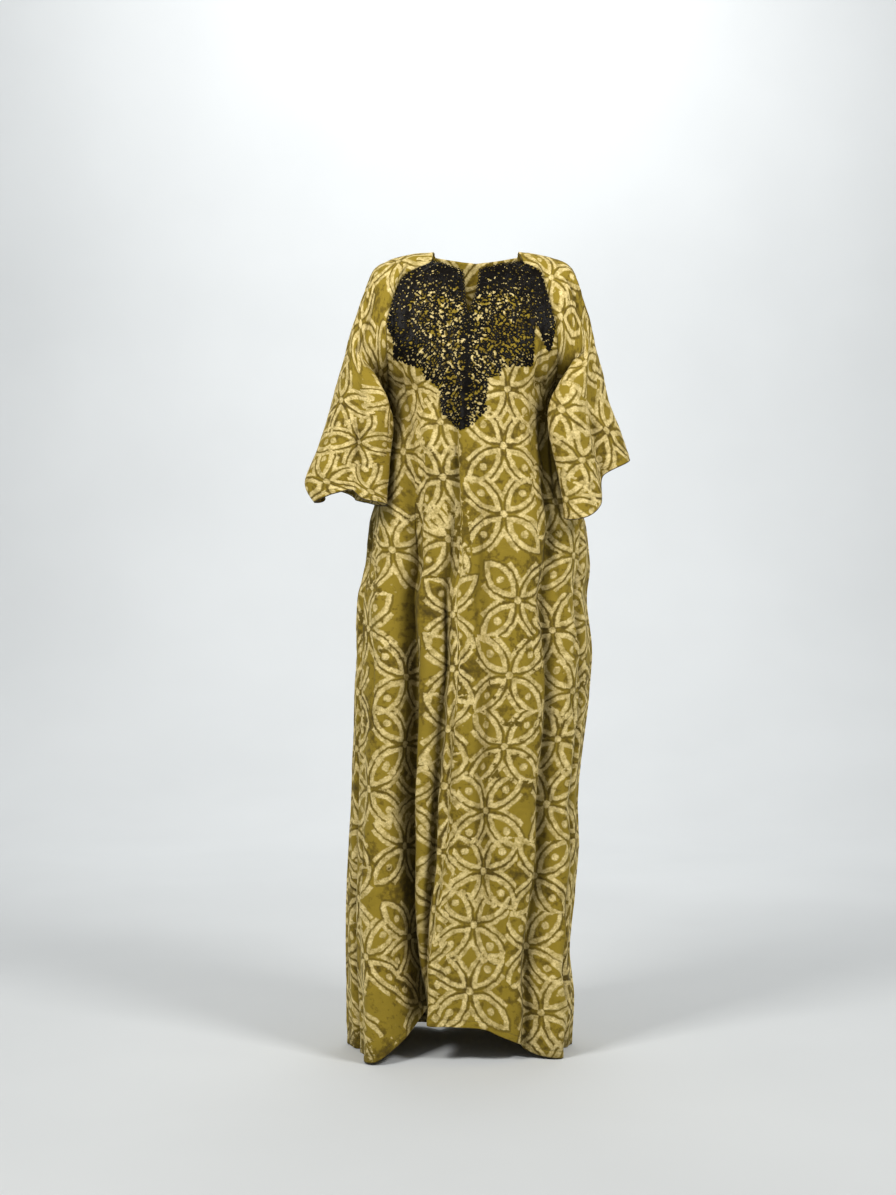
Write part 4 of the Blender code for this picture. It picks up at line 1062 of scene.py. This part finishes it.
# The lace yoke, corded lace as one skin in relief: cords round small eyelets
lace = {
    "step": 0.00085,
    "low": (-0.168, 0.016),
    "high": (0.153, 0.345),
    "inset": 0.0015,
    "pitch": 0.0053,
    "jitter": 0.0021,
    "holes": (0.0007, 0.0024),       # smallest and largest half width of an eyelet
    "cord": 0.0009,
    "height": 0.0013,
    "reach": 0.006,                  # no eyelet reaches further than this
    "rowPitch": 0.87,                # rows of eyelets, as a share of the pitch
    "solid": 0.004,                  # depth of the net where it has no eyelet
    "clear": 0.0005,                 # over the cloth that it is sewn to
    "scallop": (0.0072, 0.0024),
    "picot": (0.0064, 0.0022, 0.0009, 0.0010),    # edge loops: spacing, radius, half width, lift
    "corners": (0.150, 0.148),
}
laceFoot = (
    (-0.149, 0.170), (-0.147, 0.205), (-0.1149, 0.217), (-0.0968, 0.2295), (-0.0879, 0.246),
    (-0.0719, 0.255), (-0.063, 0.2717), (-0.063, 0.305), (-0.0513, 0.317), (-0.038, 0.3325),
    (-0.024, 0.338), (-0.0082, 0.329), (0.0184, 0.302), (0.0166, 0.284), (0.021, 0.245),
    (0.0417, 0.240), (0.0435, 0.2265), (0.0685, 0.2222), (0.0996, 0.2202), (0.1013, 0.2004),
    (0.1052, 0.1402), (0.116, 0.164), (0.1253, 0.1915), (0.133, 0.190),
)


def laceOutline():
    # anticlockwise as seen from the front, with the number of its points on the neck's side
    inset = lace["inset"]
    seams = []
    for side, corner in zip((-1, 1), lace["corners"]):
        drops = np.linspace(body["neckDrops"][0] + inset, corner, 12)
        x = section("centre", drops) + side * (section("halfWidth", drops) - inset)
        seams.append(np.stack([x, drops], -1))
    neck = []
    for side, (topX, topDrop) in zip((-1, 1), body["slitTops"]):
        t = np.linspace(0, 0.97, 10)[:, None]
        top, foot = np.array([topX, topDrop]), np.array(body["slitFoot"])
        run = np.concatenate([t ** body["slitCurve"], t], axis=1)
        neck.append(top + (foot - top) * run + np.array([side * inset, 0]))
    foot = np.array([body["slitFoot"]]) + np.array([[0, inset]])
    rim = np.concatenate([seams[1][:1], neck[1], foot, neck[0][::-1], seams[0][:1]])
    whole = np.concatenate([seams[0], laceFoot, seams[1][::-1], rim[1:-1]])
    return whole, rim


def edgeDistance(points, line, isClosed):
    # distance from each point to the line, how far along it that is, and whether it is inside
    ends = np.roll(line, -1, axis=0) if isClosed else line[1:]
    starts = line if isClosed else line[:-1]
    best, along = np.full(points.shape[:-1], 9.0), np.zeros(points.shape[:-1])
    inside, before = np.zeros(points.shape[:-1], bool), 0.0
    for a, b in zip(starts, ends):
        run = b - a
        length = np.hypot(*run)
        t = np.clip(((points - a) @ run) / length**2, 0, 1)
        away = np.linalg.norm(points - a - t[..., None] * run, axis=-1)
        closer = away < best
        best, along = np.where(closer, away, best), np.where(closer, before + t * length, along)
        before += length
        crosses = (a[1] > points[..., 1]) != (b[1] > points[..., 1])
        rise = b[1] - a[1] if b[1] != a[1] else 1e-9
        inside ^= crosses & (points[..., 0] < a[0] + run[0] * (points[..., 1] - a[1]) / rise)
    return best, along, inside


def eyeletShares(x, drop):
    # how many there are, and how large: they are larger over the middle of the chest than by
    # the seams, the neck and the band down the middle, where the lace is doubled
    middle = ease(0.130, 0.085, abs(x + 0.008)) * ease(0.055, 0.100, drop)
    band = bell((x + 0.016 + (drop - 0.2) * 0.06) / 0.007) * ease(0.135, 0.150, drop)
    return (0.62 + 0.38 * middle) * (1 - 0.7 * band), (0.62 + 0.38 * middle) * (1 - 0.3 * band)


def laceField():
    step, low, high = lace["step"], np.array(lace["low"]), np.array(lace["high"])
    counts = ((high - low) / step).astype(int)
    x, drop = np.meshgrid(low[0] + step * np.arange(counts[0]), low[1] + step * np.arange(counts[1]))
    points = np.stack([x, drop], -1)
    whole, rim = laceOutline()
    away, along, inside = edgeDistance(points, whole, True)
    period, depth = lace["scallop"]
    room = np.where(inside, away, -away) + depth * (np.abs(np.sin(along / period * pi)) - 0.5)
    net = np.full(x.shape, lace["solid"])
    dice = np.random.default_rng(31)
    pitch, rowPitch = lace["pitch"], lace["rowPitch"]
    for j in range(int((high[1] - low[1]) / pitch / rowPitch) + 1):
        for i in range(int((high[0] - low[0]) / pitch) + 1):
            cx = low[0] + (i + 0.5 * (j % 2)) * pitch + dice.uniform(-1, 1) * lace["jitter"]
            cy = low[1] + j * pitch * rowPitch + dice.uniform(-1, 1) * lace["jitter"]
            small, large = lace["holes"]
            share, scale = eyeletShares(cx, cy)
            size = scale * (small + (large - small) * dice.random() ** 1.6)
            stretch, angle = 1 + 1.1 * dice.random() ** 1.5, dice.uniform(0, pi)
            if dice.random() > share:
                continue
            reach = lace["reach"]
            columns, rows = (
                slice(*np.clip([int((at - start - reach) / step), int((at - start + reach) / step) + 2],
                               0, most))
                for at, start, most in ((cx, low[0], counts[0]), (cy, low[1], counts[1])))
            dx, dy = x[rows, columns] - cx, drop[rows, columns] - cy
            u = (dx * np.cos(angle) + dy * np.sin(angle)) / stretch
            v = dy * np.cos(angle) - dx * np.sin(angle)
            net[rows, columns] = np.minimum(net[rows, columns], np.hypot(u, v) - size)
    edge = np.minimum(room, net)
    spacing, radius, half, lift = lace["picot"]
    total = lengthAlong(rim)
    for at in np.arange(spacing / 2, total[-1], spacing):
        cx, cy = (np.interp(at, total, rim[:, k]) for k in (0, 1))
        aheadX, aheadY = (np.interp(at + 0.001, total, rim[:, k]) for k in (0, 1))
        ahead = np.hypot(aheadX - cx, aheadY - cy) or 1
        cx, cy = cx + (cy - aheadY) / ahead * lift, cy + (aheadX - cx) / ahead * lift
        ring = half - np.abs(np.hypot(x - cx, drop - cy) - radius)
        edge = np.where(ring > -half, np.maximum(edge, ring), edge)
    return x, drop, edge


def makeLace():
    x, drop, edge = laceField()
    gradient = np.gradient(edge, lace["step"])
    slope = np.maximum(gradient[0] ** 2 + gradient[1] ** 2, 0.25)
    pull = np.where(edge < 0, np.clip(-edge, 0, lace["step"]), 0) / slope
    x, drop = x + pull * gradient[1], drop + pull * gradient[0]
    corner = (edge[:-1, :-1], edge[1:, :-1], edge[1:, 1:], edge[:-1, 1:])
    isKept = (sum(corner) > 0).ravel()
    quads = quadsOf(x.shape[0], x.shape[1], 0, False)[isKept]
    used, number = np.unique(quads, return_inverse=True)
    x, drop, edge = (v.ravel()[used] for v in (x, drop, edge))
    t = np.maximum(edge, 0) / lace["cord"]
    height = lace["height"] * np.sqrt(1 - (1 - np.minimum(t, 1)) ** 2) * (1 - 0.35 * ease(1.0, 2.4, t))
    point, outward = clothPoint(placeAt(x, drop, True), drop, True)
    point = point + outward * (lace["clear"] + height)[:, None]
    mesh = bpy.data.meshes.new("laceYoke")
    mesh.from_pydata(point.tolist(), [], number.reshape(-1, 4).tolist())
    thing = newObject("laceYoke", mesh, blackCord)
    area = sum(p.area for p in mesh.polygons)
    print(f"laceYoke: {len(mesh.polygons)} faces, {area:.4f} square metres")
    return thing


laceYoke = makeLace()


# Stitches and edges
stitch = {"length": 0.0026, "half": 0.00028, "every": 0.0032, "sides": 5, "lift": 0.0006}
overlock = {"half": 0.0008, "bump": 0.0002, "every": 0.0012}


def tubesMesh(name, lines, material):
    # a tube round each line of points, given with its radii; open lines are closed to a point
    verts, faces = [], []
    turn = np.linspace(0, 2 * pi, stitch["sides"], endpoint=False)
    for line, radii in lines:
        forward = unit(np.gradient(line, axis=0))
        aside = unit(np.cross(forward, np.array([0.3, 0.9, 0.2])))
        above = np.cross(forward, aside)
        ring = np.cos(turn)[:, None] * aside[:, None] + np.sin(turn)[:, None] * above[:, None]
        rings = line[:, None] + ring * radii[:, None, None]
        start, sides = len(verts), len(turn)
        verts.extend(rings.reshape(-1, 3).tolist())
        for i in range(len(line) - 1):
            for j in range(sides):
                a, b = start + i * sides + j, start + i * sides + (j + 1) % sides
                faces.append((a, b, b + sides, a + sides))
        faces.append(tuple(start + j for j in reversed(range(sides))))
        faces.append(tuple(start + (len(line) - 1) * sides + j for j in range(sides)))
    mesh = bpy.data.meshes.new(name)
    mesh.from_pydata(verts, [], faces)
    return newObject(name, mesh, material)


def resample(line, every):
    total = lengthAlong(line)
    at = np.arange(0, total[-1], every)
    return np.stack([np.interp(at, total, line[:, k]) for k in range(3)], -1)


def makeStitches(name, lines, material):
    # a row of running stitches along each line, which lies on the cloth
    threads = []
    for line in lines:
        spots = resample(line, stitch["every"])
        for a, b in zip(spots[:-1], spots[1:]):
            share = np.linspace(0, stitch["length"] / stitch["every"], 4)[:, None]
            threads.append((a + (b - a) * share, stitch["half"] * np.array([0.5, 1, 1, 0.5])))
    return tubesMesh(name, threads, material)


def hemStitches(isFront):
    place = np.linspace(-0.995, 0.995, 900) + (0 if isFront else 2)
    drop = hemDrop(place) - finish["stitchIn"]
    point, outward = clothPoint(place, drop, isFront)
    return point + outward * stitch["lift"]


frontStitches = makeStitches("frontStitches", [hemStitches(True)], oliveThread)
backStitches = makeStitches("backStitches", [hemStitches(False)], oliveThread)
sleeveEdges, sleeveStitches = {}, {}
for side, name in ((-1, "right"), (1, "left")):
    grid = sleeveGrids[side]
    outward = sleeveOutward(grid, side)
    ridge = grid[:, sleeveCut["columns"] // 2]
    row = np.argmin(np.abs(np.linalg.norm(ridge - ridge[-1], axis=-1) - finish["stitchIn"]))
    seam = grid[row] + outward[row] * stitch["lift"]
    sleeveStitches[side] = makeStitches(f"{name}SleeveStitches", [seam], oliveThread)
    line = resample(grid[-1], overlock["every"])
    bumps = overlock["half"] + overlock["bump"] * np.cos(np.arange(len(line)) * pi)
    sleeveEdges[side] = tubesMesh(f"{name}CuffEdge", [(line, bumps)], brownOverlock)
print("lace and sewing made")


# What each piece is to the frame, and the size it was cut to
pieces = (
    {"thing": panelCloths["front"], "node": "front", "slot": "batik_cotton", "flat": (0.87, 1.44),
     "area": 0.91, "held": "hung", "restsOn": [], "with": [frontStitches]},
    {"thing": panelCloths["back"], "node": "back", "slot": "batik_cotton", "flat": (0.74, 1.46),
     "area": 0.80, "held": "hung", "restsOn": [], "with": [backStitches]},
    {"thing": sleeveCloths[-1], "node": "sleeve_right", "slot": "batik_cotton", "flat": (0.61, 0.57),
     "area": 0.19, "held": "hung", "restsOn": [], "with": [sleeveStitches[-1], sleeveEdges[-1]]},
    {"thing": sleeveCloths[1], "node": "sleeve_left", "slot": "batik_cotton", "flat": (0.67, 0.52),
     "area": 0.18, "held": "hung", "restsOn": [], "with": [sleeveStitches[1], sleeveEdges[1]]},
    {"thing": laceYoke, "node": "lace_yoke", "slot": "black_lace", "flat": (0.30, 0.31), "area": 0.046,
     "held": "laid", "restsOn": ["frontCloth"], "with": []},
)
for piece in pieces:
    for thing in (piece["thing"], *piece["with"]):
        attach(thing, "root")
        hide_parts(piece["node"])


# The studio: a sheet that sweeps up from the floor, soft lamps and the camera
studio = {
    "front": -8.0,
    "wall": 4.9,
    "bend": 2.2,
    "top": 4.5,
    "half": 8.0,
    "daylight": 0.25,
    "lens": 57.3,
    "cameraSpot": (-0.0506, -3.5, -0.634),
}


def makeStudio():
    floor, wall, bend = -body["floorDrop"], studio["wall"], studio["bend"]
    turn = np.linspace(0, pi / 2, 17)
    y = np.concatenate([[studio["front"]], wall - bend + bend * np.sin(turn), [wall]])
    z = np.concatenate([[floor], floor + bend - bend * np.cos(turn), [studio["top"]]])
    across = np.linspace(-studio["half"], studio["half"], 9)
    grid = np.stack([np.repeat(across[None], len(y), 0), np.repeat(y[:, None], 9, 1),
                     np.repeat(z[:, None], 9, 1)], -1)
    mesh = bpy.data.meshes.new("studioFloor")
    mesh.from_pydata(grid.reshape(-1, 3).tolist(), [], quadsOf(len(y), 9, 0, True).tolist())
    return newObject("studioFloor", mesh, makeBackdrop())


def addLamp(name, spot, target, size, power, colour):
    lamp = bpy.data.lights.new(name, "AREA")
    lamp.shape, lamp.size, lamp.energy, lamp.color = "SQUARE", size, power, colour
    thing = bpy.data.objects.new(name, lamp)
    thing.location = spot
    thing.rotation_euler = (Vector(target) - Vector(spot)).to_track_quat("-Z", "Y").to_euler()
    thing.visible_camera = False
    scene.collection.objects.link(thing)


makeStudio()
addLamp("key lamp", (-1.5, -1.6, 1.15), (0, 0, -0.10), 0.8, 50, (1.0, 0.985, 0.96))
addLamp("second lamp", (1.6, -1.6, 1.10), (0, 0, -0.05), 0.8, 47, (1.0, 0.99, 0.97))
addLamp("wall lamp", (0.0, 2.4, 2.6), (0, 4.9, 0.0), 3.0, 124, (1, 1, 1))
world = bpy.data.worlds.new("studio")
world.use_nodes = True
world.node_tree.nodes["Background"].inputs["Color"].default_value = linear("#F3F5F6")
world.node_tree.nodes["Background"].inputs["Strength"].default_value = studio["daylight"]
scene.world = world
scene.view_settings.view_transform = "Standard"

lens = bpy.data.cameras.new("camera")
lens.sensor_fit, lens.sensor_width, lens.lens = "AUTO", 36, studio["lens"]
camera = bpy.data.objects.new("camera", lens)
camera.location = studio["cameraSpot"]
camera.rotation_euler = (pi / 2, 0, 0)
scene.collection.objects.link(camera)
scene.camera = camera
print("studio made")
